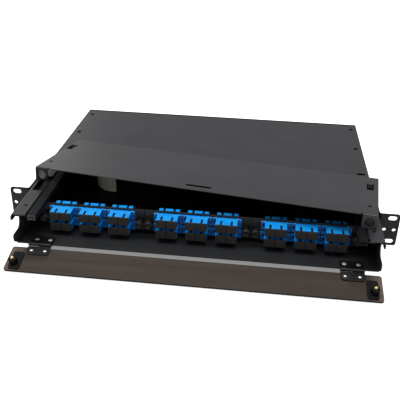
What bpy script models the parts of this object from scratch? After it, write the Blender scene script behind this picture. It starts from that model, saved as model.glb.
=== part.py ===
"""Rack-mounted fibre patch panel, one rack unit high, with its door open and its front lid lifted.

Units are metres. +X is to the right and +Y to the rear, seen from the front, and +Z is up.
The origin is on the underside of the chassis, midway between the ears, in the plane of the
ears' rear faces, which is the plane of the rack's rails.
"""
import math

import bmesh
import bpy
from mathutils import Matrix, Vector

# Rack standard
RACK_SLOT_SPACING = 0.4651
RACK_SLOT_PITCH = 0.03175
RACK_EDGE = 0.00875
RACK_WIDTH = RACK_SLOT_SPACING + 2 * RACK_EDGE

# Clearances
GAP = 0.0003
SLIDE_CLEARANCE = 0.0005

# Chassis, folded from one sheet
CHASSIS_HEIGHT = 0.0430
CHASSIS_DEPTH = 0.3420
FRONT_REACH = 0.0660
SHEET = 0.0015
BEND = 0.0020
BEND_PROFILE = 0.5
FLANGE_WIDTH = 0.0170
FLANGE_HOLE_SHARE = 0.6
LIP_REACH = 0.0030
LIP_ROUND = 0.0060
FLOOR_SETBACK = 0.0040
EXIT_RADIUS = 0.00975
EXIT_HEIGHT = 0.02495
EXIT_CENTRE_BACK = 0.0100
FLANGE_SLOT_WIDTH = 0.0130
FLANGE_SLOT_LENGTH = 0.0390
FLANGE_SLOT_BACK = 0.0610
LID_SCREW_BACK = 0.0222
LID_SCREW_RADIUS = 0.0020
REAR_ENTRY_WIDTH = 0.0420
REAR_ENTRY_HEIGHT = 0.0240
REAR_ENTRY_OFFSET = 0.1450

# Slide rails, welded to the side walls
RAIL_SHEET = 0.0010
RAIL_WIDTH = 0.0092
RAIL_HEIGHT = 0.0064
RAIL_STANDOFF = 0.0083
RAIL_FRONT = 0.0095
RAIL_LENGTH = 0.2830
RAIL_FOOT_LENGTH = 0.0140
RAIL_FEET = 3

# Slide tray
TRAY_SHEET = 0.0012
TRAY_MARGIN = 0.0005
TRAY_LENGTH = 0.2990
TRAY_RUNNER_SHEET = 0.0012
TRAY_CHANNEL_WIDTH = 0.0096
TRAY_REAR_LIP = 0.0100
TRAY_NOSE_SLOT = 0.0014
TIE_SLOT_LENGTH = 0.0240
TIE_SLOT_WIDTH = 0.0040
TIE_SLOT_ROWS = 3
TIE_SLOT_COLUMNS = 4

# Adapter plates
PLATE_COUNT = 3
PLATE_PITCH = 0.1300
PLATE_SEAM = 0.0006
PLATE_HEIGHT = 0.0286
PLATE_SHEET = 0.0015
PLATE_CORNER = 0.0010
PLATE_BACK = 0.0450
RIVET_INSET = 0.0058
RIVET_HOLE_RADIUS = 0.0031

# Duplex adapters, in columns and rows on each plate
ADAPTER_COLUMNS = 3
ADAPTER_ROWS = 2
ADAPTER_PITCH = 0.0358
ADAPTER_ROW_PITCH = 0.0142
ADAPTER_WIDTH = 0.0260
ADAPTER_HEIGHT = 0.0093
ADAPTER_NOSE = 0.0170
ADAPTER_TAIL = 0.0108
ADAPTER_FLANGE_WIDTH = 0.0352
ADAPTER_FLANGE_RISE = 0.0002
ADAPTER_FLANGE_DROP = 0.0062
ADAPTER_FLANGE_SHEET = 0.0025
PORT_WIDTH = 0.0096
PORT_HEIGHT = 0.0075
PORT_PITCH = 0.0127
PORT_WALL = 0.0030
SLEEVE_RADIUS = 0.0022
SLEEVE_BORE = 0.0013
SLEEVE_REACH = 0.0070
KEY_WIDTH = 0.0024
KEY_LENGTH = 0.0095

# Dust caps, one duplex cap for each adapter
CAP_WIDTH = 0.0256
CAP_HEIGHT = 0.0104
CAP_SHEET = 0.0020
CAP_PLUG_LENGTH = 0.0055
CAP_GROOVE = 0.0010
CAP_CORNER = 0.0012

# Push-pull rivets of the plates
RIVET_KNOB_RADIUS = 0.0048
RIVET_KNOB_LENGTH = 0.0075
RIVET_NECK_LENGTH = 0.0048
RIVET_TIP_LENGTH = 0.0030
RIVET_COLLAR = 0.0012
RIVET_END_SHARE = 0.6

# Fibre spool
SPOOL_RADIUS = 0.0300
SPOOL_WALL = 0.0024
SPOOL_HEIGHT = 0.0290
SPOOL_X = -0.1260
SPOOL_BACK = 0.1650
SPOOL_BASE_WIDTH = 0.0060
SPOOL_ARC = 192.0
SPOOL_FOOT_ARC = 184.0
SPOOL_RIM_ARC = 160.0

# Door and its hinges
DOOR_WIDTH = 0.4320
DOOR_HEIGHT = 0.0370
DOOR_SHEET = 0.0030
DOOR_CORNER = 0.0030
DOOR_EDGE_OFFSET = 0.0036
DOOR_DROOP = math.radians(14.0)
HINGE_AHEAD = 0.0010
HINGE_X = 0.1834
HINGE_WIDTH = 0.0275
HINGE_FLOOR_LEAF = 0.0195
HINGE_DOOR_LEAF = 0.0150
HINGE_CORNER = 0.0029
HINGE_SHEET = 0.0012
HINGE_HOLE_SPACING = 0.0164
HINGE_FLOOR_HOLE_BACK = 0.0125
HINGE_DOOR_HOLE_BACK = 0.0088
HINGE_FLOOR_HOLE_RADIUS = 0.0027
HINGE_DOOR_HOLE_RADIUS = 0.0022
KNUCKLE_RADIUS = 0.0020
HINGE_PIN_RADIUS = 0.0009

# Door latches
LATCH_X = 0.2058
LATCH_OUT = 0.0300
LATCH_BASE_WIDTH = 0.0129
LATCH_BASE_LENGTH = 0.0260
LATCH_BASE_INWARD = 0.0017
LATCH_BASE_BACKWARD = 0.0040
LATCH_BASE_SHEET = 0.0018
LATCH_BASE_CORNER = 0.0020
LATCH_NOSE_RADIUS = 0.0043
LATCH_NOSE_LENGTH = 0.0070
PLUNGER_RADIUS = 0.0020
PLUNGER_TIP = 0.0022
PLUNGER_KNOB_RADIUS = 0.0050
PLUNGER_KNOB_LENGTH = 0.0040

# Front lid
LID_WIDTH = 0.4275
LID_DEPTH = 0.1290
LID_CORNER = 0.0015
COVER_SHEET = 0.0012
BRACKET_WIDTH = 0.0170
BRACKET_DROP = 0.0176
BRACKET_HOLE_RADIUS = 0.0057
BRACKET_HOLE_DROP = 0.0093
NOTCH_WIDTH = 0.0022
NOTCH_DEPTH = 0.0024
LID_SLOT_LENGTH = 0.0320
LID_SLOT_WIDTH = 0.0022
LID_SLOT_BACK = 0.0130
LID_DASH_INSET_LEFT = 0.0085
LID_DASH_INSET_RIGHT = 0.0102
LID_TAB_WIDTH = 0.0085
LID_TAB_LENGTH = 0.0200
LID_TAB_INSET_LEFT = 0.0020
LID_TAB_INSET_RIGHT = 0.0060
LID_TAB_BACK = 0.0840
LID_TAB_DROP = 0.0022
LID_TAB_SHEET = 0.0010
LID_CORNER_X = -0.2155
LID_CORNER_BACK = 0.0895
LID_YAW = math.radians(-8.5)

# Rear cover
REAR_COVER_START = 0.1390
REAR_COVER_LIP = 0.0100
COVER_SCREW_X = 0.2060
COVER_SCREW_RADIUS = 0.0021
COVER_SCREW_BACKS = (0.2490, 0.3230)
COVER_SLOT_BACK = 0.1655
COVER_SLOT_LENGTH = 0.0100
COVER_SLOT_WIDTH = 0.0020

# Rack ears
EAR_SHEET = 0.0020
EAR_LEG = 0.0400
EAR_CORNER = 0.0030
EAR_SLOT_LENGTH = 0.0105
EAR_SLOT_WIDTH = 0.0062
EAR_HOLE_RADIUS = 0.0023
EAR_HOLE_SPACING = 0.0115
EAR_HOLE_OUTWARD = 0.0036
EAR_SCREW_RADIUS = 0.0017
EAR_SCREW_BACK = 0.0280
EAR_SCREW_HEIGHTS = (0.25, 0.75)

# Points nearer than this are one point
WELD_DISTANCE = 0.00002

# Facets of round shapes
ARC_STEPS = 4
HOLE_STEPS = 16
SMALL_HOLE_STEPS = 12
SLEEVE_STEPS = 8
TURN_STEPS = 14

# Places that follow from the sizes
FRONT = -FRONT_REACH
REAR = FRONT + CHASSIS_DEPTH
TRAY_HALF = PLATE_COUNT * PLATE_PITCH / 2 + TRAY_MARGIN
RAIL_INNER = TRAY_HALF + SLIDE_CLEARANCE
RAIL_OUTER = RAIL_INNER + RAIL_WIDTH
CHASSIS_HALF = RAIL_OUTER + RAIL_STANDOFF + SHEET
FLANGE_MID = CHASSIS_HALF - FLANGE_HOLE_SHARE * FLANGE_WIDTH
RAIL_TOP = CHASSIS_HEIGHT - SHEET - SLIDE_CLEARANCE
RAIL_BOTTOM = RAIL_TOP - RAIL_HEIGHT
HINGE_Y = FRONT - HINGE_AHEAD
HINGE_Z = SHEET + KNUCKLE_RADIUS
TRAY_BOTTOM = HINGE_Z + KNUCKLE_RADIUS + SLIDE_CLEARANCE
TRAY_TOP = CHASSIS_HEIGHT - 2 * GAP
PLATE_MID = TRAY_BOTTOM + GAP + PLATE_HEIGHT / 2
PLATE_TOP = PLATE_MID + PLATE_HEIGHT / 2
CHANNEL_BOTTOM = PLATE_TOP + GAP
PLATE_FRONT = FRONT + PLATE_BACK
FRAME_FRONT = PLATE_FRONT + PLATE_SHEET + GAP
RUNNER_BOTTOM = RAIL_BOTTOM + RAIL_SHEET + GAP
COVER_TOP = CHASSIS_HEIGHT + GAP + COVER_SHEET


# Scene and materials


def clear_scene():
    """Remove every object, so that the script gives the same model each run."""
    for item in list(bpy.data.objects):
        bpy.data.objects.remove(item, do_unlink=True)


def make_material(name, colour, roughness, metallic=0.0, alpha=1.0):
    """Return a Principled material with one colour."""
    material = bpy.data.materials.new(name)
    material.use_nodes = True
    shader = material.node_tree.nodes["Principled BSDF"]
    shader.inputs["Base Color"].default_value = (*colour, 1.0)
    shader.inputs["Roughness"].default_value = roughness
    shader.inputs["Metallic"].default_value = metallic
    shader.inputs["Alpha"].default_value = alpha
    material.diffuse_color = (*colour, alpha)
    return material


def make_collection(name):
    """Return a new collection linked to the scene."""
    collection = bpy.data.collections.new(name)
    bpy.context.scene.collection.children.link(collection)
    return collection


# Outlines, as lists of points in a plane


def arc(centre, radius, start, end, steps=ARC_STEPS):
    """Points on an arc, with angles in degrees and both ends included."""
    points = []
    for index in range(steps + 1):
        angle = math.radians(start + (end - start) * index / steps)
        points.append((centre[0] + radius * math.cos(angle), centre[1] + radius * math.sin(angle)))
    return points


def circle(centre, radius, steps=HOLE_STEPS):
    """Points round a full circle."""
    return arc(centre, radius, 0.0, 360.0, steps)[:-1]


def rounded_rectangle(centre, width, height, radius, steps=ARC_STEPS):
    """Points round a rectangle with rounded corners."""
    dx = width / 2 - radius
    dy = height / 2 - radius
    corners = ((dx, dy, 0), (-dx, dy, 90), (-dx, -dy, 180), (dx, -dy, 270))
    points = []
    for x, y, angle in corners:
        points += arc((centre[0] + x, centre[1] + y), radius, angle, angle + 90, steps)
    return points


def rectangle(low, high):
    """Corner points of a plain rectangle."""
    return [low, (high[0], low[1]), high, (low[0], high[1])]


def slot(centre, length, width, steps=ARC_STEPS):
    """Points round a slot with round ends, lying along the first axis."""
    reach = (length - width) / 2
    points = arc((centre[0] + reach, centre[1]), width / 2, -90, 90, 2 * steps)
    points += arc((centre[0] - reach, centre[1]), width / 2, 90, 270, 2 * steps)
    return points


def mirrored(points):
    """Points of the right half followed by those of the left half."""
    return points + [(-x, y) for x, y in reversed(points)]


# Solids


def add_object(name, mesh):
    """Link a mesh to the scene as a named object."""
    item = bpy.data.objects.new(name, mesh)
    bpy.context.scene.collection.objects.link(item)
    return item


def evaluated_copy(item):
    """Mesh of an object as its modifiers or its curve settings leave it, in world space."""
    bpy.context.view_layer.update()
    graph = bpy.context.evaluated_depsgraph_get()
    mesh = bpy.data.meshes.new_from_object(item.evaluated_get(graph))
    mesh.transform(item.matrix_world)
    return mesh


def sheet(name, outline, holes, low, high, axis="Z"):
    """Extrude an outline with holes between two levels along an axis.

    The outline is in the XY plane for axis Z, in XZ for axis Y and in YZ for axis X.
    """
    curve = bpy.data.curves.new(name, "CURVE")
    curve.dimensions = "2D"
    curve.fill_mode = "BOTH"
    curve.extrude = (high - low) / 2
    for points in [outline] + holes:
        spline = curve.splines.new("POLY")
        spline.points.add(len(points) - 1)
        for point, (u, v) in zip(spline.points, points):
            point.co = (u, v, 0.0, 1.0)
        spline.use_cyclic_u = True
    item = add_object(name, curve)
    turns = {
        "Z": Matrix.Identity(4),
        "Y": Matrix.Rotation(math.pi / 2, 4, "X"),
        "X": Matrix.Rotation(math.pi / 2, 4, "Z") @ Matrix.Rotation(math.pi / 2, 4, "X"),
    }
    middle = {"Z": (0, 0, 1), "Y": (0, 1, 0), "X": (1, 0, 0)}[axis]
    item.matrix_world = Matrix.Translation(Vector(middle) * (low + high) / 2) @ turns[axis]
    mesh = evaluated_copy(item)
    bpy.data.objects.remove(item, do_unlink=True)
    weld(mesh)
    return add_object(name, mesh)


def weld(mesh):
    """Join points that lie together, drop slivers and turn the faces outwards."""
    body = bmesh.new()
    body.from_mesh(mesh)
    bmesh.ops.remove_doubles(body, verts=body.verts, dist=WELD_DISTANCE)
    bmesh.ops.dissolve_degenerate(body, edges=body.edges, dist=WELD_DISTANCE)
    bmesh.ops.recalc_face_normals(body, faces=body.faces)
    body.to_mesh(mesh)
    body.free()


def block(name, low, high):
    """A box between two corners."""
    body = bmesh.new()
    bmesh.ops.create_cube(body, size=1.0)
    size = Vector(high) - Vector(low)
    middle = (Vector(high) + Vector(low)) / 2
    place = Matrix.Translation(middle) @ Matrix.Diagonal((*size, 1.0))
    bmesh.ops.transform(body, matrix=place, verts=body.verts)
    mesh = bpy.data.meshes.new(name)
    body.to_mesh(mesh)
    body.free()
    return add_object(name, mesh)


def rod(name, start, end, radius, steps=HOLE_STEPS):
    """A cylinder from one point to another."""
    start = Vector(start)
    run = Vector(end) - start
    body = bmesh.new()
    bmesh.ops.create_cone(
        body, cap_ends=True, segments=steps, radius1=radius, radius2=radius, depth=run.length
    )
    place = Matrix.Translation(start + run / 2) @ run.to_track_quat("Z", "Y").to_matrix().to_4x4()
    bmesh.ops.transform(body, matrix=place, verts=body.verts)
    mesh = bpy.data.meshes.new(name)
    body.to_mesh(mesh)
    body.free()
    return add_object(name, mesh)


def turned(name, profile, steps=TURN_STEPS):
    """Revolve a profile of (radius, height) points round Z, from its top to its bottom."""
    mesh = bpy.data.meshes.new(name)
    points = [(radius, 0.0, height) for radius, height in profile]
    mesh.from_pydata(points, [(index, index + 1) for index in range(len(points) - 1)], [])
    item = add_object(name, mesh)
    screw = item.modifiers.new("turn", "SCREW")
    screw.steps = steps
    screw.render_steps = steps
    screw.use_merge_vertices = True
    screw.merge_threshold = 0.00001
    return bake(item)


def bake(item):
    """Replace an object's mesh by its evaluated mesh and drop its modifiers."""
    mesh = evaluated_copy(item)
    weld(mesh)
    item.modifiers.clear()
    item.matrix_world = Matrix.Identity(4)
    item.data = mesh
    return item


def combine(item, tools, operation):
    """Unite an object with others or cut them out of it, then remove the others."""
    for tool in tools:
        modifier = item.modifiers.new(operation.lower(), "BOOLEAN")
        modifier.operation = operation
        modifier.object = tool
        modifier.solver = "EXACT"
    bake(item)
    for tool in tools:
        bpy.data.objects.remove(tool, do_unlink=True)
    return item


def unite(item, tools):
    """Unite an object with others."""
    return combine(item, tools, "UNION")


def cut(item, tools):
    """Cut others out of an object."""
    return combine(item, tools, "DIFFERENCE")


def smooth(item, angle=35.0):
    """Shade round faces smooth and keep the edges sharp."""
    item.data.shade_smooth()
    item.data.set_sharp_from_angle(angle=math.radians(angle))


def finish(item, name, material, collection, origin=(0, 0, 0), parent=None):
    """Name an object, dress it, put its origin at a point and move it to its collection."""
    item.name = name
    item.data.name = name
    item.data.materials.clear()
    item.data.materials.append(material)
    item.data.transform(Matrix.Translation(-Vector(origin)))
    item.location = origin
    for owner in list(item.users_collection):
        owner.objects.unlink(item)
    collection.objects.link(item)
    smooth(item)
    if parent:
        item.parent = parent
    return item


def guide(name, location, rotation):
    """An empty that carries the pieces of a tilted assembly."""
    empty = bpy.data.objects.new(name, None)
    bpy.context.scene.collection.objects.link(empty)
    empty.empty_display_size = 0.02
    empty.location = location
    empty.rotation_euler = rotation
    bpy.context.view_layer.update()
    return empty


# Chassis


def chassis_section():
    """Right-hand half of the chassis section: floor, side wall and inward flange, with their bends."""
    reach = CHASSIS_HALF - BEND
    low = (reach, BEND)
    high = (reach, CHASSIS_HEIGHT - BEND)
    inner = BEND - SHEET
    edge = CHASSIS_HALF - FLANGE_WIDTH
    outside = arc(low, BEND, -90, 0, 2) + arc(high, BEND, 0, 90, 2)
    lip = [(edge, CHASSIS_HEIGHT), (edge, CHASSIS_HEIGHT - SHEET)]
    return outside + lip + arc(high, inner, 90, 0, 2) + arc(low, inner, 0, -90, 2)


def folded_shell():
    """Floor, side walls with inward flanges, and rear wall."""
    front = FRONT - LIP_REACH
    shell = sheet("shell", mirrored(chassis_section()), [], front, REAR, axis="Y")
    half = CHASSIS_HALF - SHEET / 2
    wall = rectangle((-half, SHEET / 2), (half, CHASSIS_HEIGHT - SHEET / 2))
    return unite(shell, [sheet("wall", wall, [], REAR - 9 * SHEET / 8, REAR - SHEET / 8, axis="Y")])


def front_outline():
    """Side view of what the press takes off the front: the floor's setback and the cable exits."""
    lip = FRONT - LIP_REACH
    ahead = FRONT - EXIT_RADIUS
    centre = (FRONT + EXIT_CENTRE_BACK, EXIT_HEIGHT)
    corner = EXIT_RADIUS / 4
    points = [(ahead, -SHEET), (FRONT + FLOOR_SETBACK, -SHEET)]
    reach = FLOOR_SETBACK + LIP_REACH
    for index in range(ARC_STEPS + 1):
        angle = math.radians(90 * index / ARC_STEPS)
        back = lip + reach * (1 - math.sin(angle))
        points.append((back, 2 * SHEET + LIP_ROUND * (1 - math.cos(angle))))
    low = centre[1] - EXIT_RADIUS
    points += arc((lip + corner, low - corner), corner, 180, 90, 2)
    points += arc(centre, EXIT_RADIUS, -90, 90, 3 * ARC_STEPS)
    points += arc((lip + corner, centre[1] + EXIT_RADIUS + corner), corner, 270, 180, 2)
    shoulder = CHASSIS_HEIGHT - 1.5 * SHEET
    points += [(lip, shoulder), (FRONT, shoulder), (FRONT, CHASSIS_HEIGHT + SHEET)]
    points.append((ahead, CHASSIS_HEIGHT + SHEET))
    return points


def slide_rail(side):
    """C-shaped rail with its feet, which reach into the side wall."""
    channel = [
        (RAIL_INNER, RAIL_BOTTOM),
        (RAIL_OUTER, RAIL_BOTTOM),
        (RAIL_OUTER, RAIL_TOP),
        (RAIL_INNER, RAIL_TOP),
        (RAIL_INNER, RAIL_TOP - RAIL_SHEET),
        (RAIL_OUTER - RAIL_SHEET, RAIL_TOP - RAIL_SHEET),
        (RAIL_OUTER - RAIL_SHEET, RAIL_BOTTOM + RAIL_SHEET),
        (RAIL_INNER, RAIL_BOTTOM + RAIL_SHEET),
    ]
    start = FRONT + RAIL_FRONT
    outline = [(side * x, z) for x, z in channel]
    rail = sheet("rail", outline, [], start, start + RAIL_LENGTH, axis="Y")
    feet = []
    for index in range(RAIL_FEET):
        y = start + RAIL_LENGTH * (index + 0.5) / RAIL_FEET
        near = side * (RAIL_OUTER - RAIL_SHEET / 2)
        far = side * (CHASSIS_HALF - SHEET / 2)
        low = (min(near, far), y - RAIL_FOOT_LENGTH / 2, RAIL_BOTTOM + RAIL_SHEET)
        high = (max(near, far), y + RAIL_FOOT_LENGTH / 2, RAIL_TOP - RAIL_SHEET)
        feet.append(block("foot", low, high))
    return unite(rail, feet)


def hinge_holes(side, direction):
    """Screw holes of a hinge leaf, ahead of its axis for -1 and behind it for +1."""
    back = HINGE_FLOOR_HOLE_BACK if direction > 0 else HINGE_DOOR_HOLE_BACK
    holes = []
    for step in (-1, 1):
        x = side * HINGE_X + step * HINGE_HOLE_SPACING / 2
        holes.append((x, direction * back))
    return holes


def leaf_outline(side, direction):
    """Flat leaf that reaches its own knuckle on one half and stays clear of the other one."""
    left = side * HINGE_X - HINGE_WIDTH / 2
    right = side * HINGE_X + HINGE_WIDTH / 2
    middle = side * HINGE_X
    clear = direction * (KNUCKLE_RADIUS + GAP)
    far = HINGE_FLOOR_LEAF if direction > 0 else -HINGE_DOOR_LEAF
    if direction > 0:
        near = [(left, 0.0), (middle - GAP / 2, 0.0), (middle - GAP / 2, clear), (right, clear)]
    else:
        near = [(left, clear), (middle + GAP / 2, clear), (middle + GAP / 2, 0.0), (right, 0.0)]
    corner = HINGE_CORNER
    ends = [(right, far - direction * corner), (right - corner, far)]
    ends += [(left + corner, far), (left, far - direction * corner)]
    return near + ends


def base_leaf(side):
    """Leaf on the floor, with the left half of the knuckle."""
    outline = [(x, HINGE_Y + y) for x, y in leaf_outline(side, 1)]
    leaf = sheet("leaf", outline, [], SHEET / 2, SHEET + HINGE_SHEET)
    left = side * HINGE_X - HINGE_WIDTH / 2
    ends = ((left, HINGE_Y, HINGE_Z), (side * HINGE_X - GAP / 2, HINGE_Y, HINGE_Z))
    return unite(leaf, [rod("knuckle", *ends, KNUCKLE_RADIUS)])


def make_chassis():
    """Folded chassis with its slide rails and the hinge leaves of its floor."""
    chassis = folded_shell()
    reach = CHASSIS_HALF + SHEET
    cut(chassis, [sheet("front", front_outline(), [], -reach, reach, axis="X")])
    holes = []
    for side in (-1, 1):
        low = (side * FLANGE_MID - FLANGE_SLOT_WIDTH / 2, FRONT + FLANGE_SLOT_BACK)
        high = (low[0] + FLANGE_SLOT_WIDTH, low[1] + FLANGE_SLOT_LENGTH)
        top = (CHASSIS_HEIGHT - 2 * SHEET, CHASSIS_HEIGHT + SHEET)
        holes.append(sheet("flange_slot", rectangle(low, high), [], *top))
        places = [(side * FLANGE_MID, FRONT + LID_SCREW_BACK)]
        places += [(side * COVER_SCREW_X, FRONT + back) for back in COVER_SCREW_BACKS]
        for place in places:
            holes.append(sheet("screw_hole", circle(place, LID_SCREW_RADIUS), [], *top))
        centre = (side * REAR_ENTRY_OFFSET, CHASSIS_HEIGHT / 2)
        entry = slot(centre, REAR_ENTRY_WIDTH, REAR_ENTRY_HEIGHT)
        holes.append(sheet("entry", entry, [], REAR - 2 * SHEET, REAR + SHEET, axis="Y"))
    cut(chassis, holes)
    unite(chassis, [slide_rail(side) for side in (-1, 1)] + [base_leaf(side) for side in (-1, 1)])
    bores = []
    for side in (-1, 1):
        left = side * HINGE_X - HINGE_WIDTH / 2 - SHEET
        right = side * HINGE_X + SHEET
        bore = HINGE_PIN_RADIUS + GAP
        bores.append(rod("bore", (left, HINGE_Y, HINGE_Z), (right, HINGE_Y, HINGE_Z), bore))
        for x, y in hinge_holes(side, 1):
            outline = circle((x, HINGE_Y + y), HINGE_FLOOR_HOLE_RADIUS)
            bores.append(sheet("leaf_hole", outline, [], -SHEET, 3 * SHEET))
    return cut(chassis, bores)


# Covers


def make_rear_cover():
    """Flat cover screwed on the flanges, with a lip down the rear wall."""
    start = FRONT + REAR_COVER_START
    end = REAR + GAP + COVER_SHEET
    outline = rectangle((-CHASSIS_HALF, start), (CHASSIS_HALF, end))
    holes = []
    for side in (-1, 1):
        for back in COVER_SCREW_BACKS:
            holes.append(circle((side * COVER_SCREW_X, FRONT + back), COVER_SCREW_RADIUS))
        centre = (side * FLANGE_MID, FRONT + COVER_SLOT_BACK)
        holes.append(slot(centre, COVER_SLOT_LENGTH, COVER_SLOT_WIDTH, 2))
    cover = sheet("cover", outline, holes, CHASSIS_HEIGHT + GAP, COVER_TOP)
    lip_low = (-CHASSIS_HALF + BEND, CHASSIS_HEIGHT - REAR_COVER_LIP)
    lip_high = (CHASSIS_HALF - BEND, CHASSIS_HEIGHT + GAP + COVER_SHEET / 2)
    lip = sheet("lip", rectangle(lip_low, lip_high), [], REAR + GAP, end, axis="Y")
    return unite(cover, [lip])


def lid_tilt():
    """Angle at which the lid's rear edge lies on the rear cover and its brackets on the flanges."""
    run = LID_DEPTH - COVER_SHEET
    rise = BRACKET_DROP - COVER_SHEET
    step = COVER_TOP - CHASSIS_HEIGHT
    return math.atan2(rise, run) - math.asin(step / math.hypot(run, rise))


def lid_height(tilt):
    """Height of the top of the lid's front edge when its rear edge lies on the rear cover."""
    return COVER_TOP + GAP + LID_DEPTH * math.sin(tilt) + COVER_SHEET * math.cos(tilt)


def lid_tab(left):
    """Tongue pressed down and forward out of its opening near a rear corner."""
    back = LID_TAB_BACK + LID_TAB_LENGTH
    end = back - LID_TAB_LENGTH / 2
    foot = back - 2 * LID_TAB_DROP
    top = (LID_TAB_SHEET - COVER_SHEET) / 2
    step = [
        (back + COVER_SHEET, top - LID_TAB_SHEET),
        (back + COVER_SHEET, top),
        (back - COVER_SHEET, top),
        (foot, -LID_TAB_DROP),
        (end, -LID_TAB_DROP),
        (end, -LID_TAB_DROP - LID_TAB_SHEET),
        (foot, -LID_TAB_DROP - LID_TAB_SHEET),
        (back - COVER_SHEET, top - LID_TAB_SHEET),
    ]
    return sheet("tab", step, [], left + COVER_SHEET, left + LID_TAB_WIDTH - COVER_SHEET, axis="X")


def bent_lid():
    """Lid's sheet with its two front brackets, bent from one open surface."""
    left = BRACKET_WIDTH
    right = LID_WIDTH - BRACKET_WIDTH
    corner = LID_CORNER
    outline = [(0.0, 0.0), (left, 0.0), (left, NOTCH_DEPTH)]
    outline += [(left + NOTCH_WIDTH, NOTCH_DEPTH), (left + NOTCH_WIDTH, 0.0)]
    outline += [(right - NOTCH_WIDTH, 0.0), (right - NOTCH_WIDTH, NOTCH_DEPTH)]
    outline += [(right, NOTCH_DEPTH), (right, 0.0), (LID_WIDTH, 0.0)]
    outline += arc((LID_WIDTH - corner, LID_DEPTH - corner), corner, 0, 90, 2)
    outline += arc((corner, LID_DEPTH - corner), corner, 90, 180, 2)
    body = bmesh.new()
    body.faces.new([body.verts.new((x, y, 0.0)) for x, y in outline])
    body.normal_update()
    fronts = [
        edge
        for edge in body.edges
        if all(vert.co.y < GAP for vert in edge.verts)
        and abs(edge.calc_length() - BRACKET_WIDTH) < GAP
    ]
    for edge in fronts:
        grown = bmesh.ops.extrude_edge_only(body, edges=[edge])["geom"]
        corners = [part for part in grown if isinstance(part, bmesh.types.BMVert)]
        bmesh.ops.translate(body, vec=(0, 0, -BRACKET_DROP), verts=corners)
    bends = [edge for edge in body.edges if len(edge.link_faces) == 2]
    bmesh.ops.bevel(body, geom=bends, offset=BEND, segments=3, profile=BEND_PROFILE, affect="EDGES")
    bmesh.ops.recalc_face_normals(body, faces=body.faces)
    top = max(body.faces, key=lambda face: face.calc_area())
    if top.normal.z < 0:
        bmesh.ops.reverse_faces(body, faces=body.faces)
    mesh = bpy.data.meshes.new("lid")
    body.to_mesh(mesh)
    body.free()
    item = add_object("lid", mesh)
    wall = item.modifiers.new("wall", "SOLIDIFY")
    wall.thickness = COVER_SHEET
    wall.offset = -1.0
    wall.use_even_offset = True
    return bake(item)


def make_front_lid():
    """Lift-off lid over the front of the chassis, in its own frame at its front left corner."""
    lid = bent_lid()
    tabs = []
    tools = []
    through = (-2 * COVER_SHEET, COVER_SHEET)
    finger = slot((LID_WIDTH / 2, LID_SLOT_BACK), LID_SLOT_LENGTH, LID_SLOT_WIDTH, 2)
    tools.append(sheet("finger", finger, [], *through))
    for low in (LID_TAB_INSET_LEFT, LID_WIDTH - LID_TAB_INSET_RIGHT - LID_TAB_WIDTH):
        far = (low + LID_TAB_WIDTH, LID_TAB_BACK + LID_TAB_LENGTH)
        tools.append(sheet("opening", rectangle((low, LID_TAB_BACK), far), [], *through))
        tabs.append(lid_tab(low))
    for x in (LID_DASH_INSET_LEFT, LID_WIDTH - LID_DASH_INSET_RIGHT):
        centre = (x, LID_SCREW_BACK + FLOOR_SETBACK)
        dash = slot(centre, 2.2 * LID_SCREW_RADIUS, LID_SCREW_RADIUS, 2)
        tools.append(sheet("dash", dash, [], *through))
    for x in (BRACKET_WIDTH / 2, LID_WIDTH - BRACKET_WIDTH / 2):
        start = (x, -COVER_SHEET, -BRACKET_HOLE_DROP)
        end = (x, 2 * COVER_SHEET, -BRACKET_HOLE_DROP)
        tools.append(rod("latch_hole", start, end, BRACKET_HOLE_RADIUS, 20))
    cut(lid, tools)
    return unite(lid, tabs)


# Rack ears


def make_ear(side):
    """Angle bracket with two oblong rack slots and two small holes in its front plate."""
    inner = CHASSIS_HALF + GAP
    outer = RACK_WIDTH / 2
    bend = 2 * EAR_SHEET
    angle = [(outer, -EAR_SHEET), (outer, 0.0), (inner + bend, 0.0)]
    angle += arc((inner + bend, bend - EAR_SHEET), bend - EAR_SHEET, 270, 180, 3)
    angle += [(inner + EAR_SHEET, EAR_LEG), (inner, EAR_LEG)]
    angle += arc((inner + bend, bend - EAR_SHEET), bend, 180, 270, 3)
    ear = sheet("ear", [(side * x, y) for x, y in angle], [], 0.0, CHASSIS_HEIGHT)
    middle = CHASSIS_HEIGHT / 2
    width = outer - inner + 2 * EAR_CORNER
    centre = (side * (outer - width / 2), middle)
    frame = rounded_rectangle(centre, width, CHASSIS_HEIGHT, EAR_CORNER)
    combine(ear, [sheet("frame", frame, [], -bend, EAR_LEG + bend, axis="Y")], "INTERSECT")
    x = side * RACK_SLOT_SPACING / 2
    shapes = []
    for step in (-1, 1):
        centre = (x, middle + step * RACK_SLOT_PITCH / 2)
        shapes.append(slot(centre, EAR_SLOT_LENGTH, EAR_SLOT_WIDTH))
    for step in (0, 1):
        centre = (x + side * (EAR_HOLE_OUTWARD - step * EAR_HOLE_SPACING), middle)
        shapes.append(circle(centre, EAR_HOLE_RADIUS, SMALL_HOLE_STEPS))
    tools = [sheet("slot", shape, [], -2 * EAR_SHEET, EAR_SHEET, axis="Y") for shape in shapes]
    for share in EAR_SCREW_HEIGHTS:
        start = (side * (inner - EAR_SHEET), EAR_SCREW_BACK, share * CHASSIS_HEIGHT)
        end = (side * (inner + 2 * EAR_SHEET), EAR_SCREW_BACK, share * CHASSIS_HEIGHT)
        tools.append(rod("screw_hole", start, end, EAR_SCREW_RADIUS, SMALL_HOLE_STEPS))
    return cut(ear, tools)


# Slide tray and what it carries


def plate_centre(index):
    """Middle of one adapter plate, counted from the left."""
    return (index - (PLATE_COUNT - 1) / 2) * PLATE_PITCH


def rivet_places():
    """Places of the push-pull rivets, two on each plate."""
    reach = PLATE_PITCH / 2 - RIVET_INSET
    return [plate_centre(index) + side * reach for index in range(PLATE_COUNT) for side in (-1, 1)]


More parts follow.
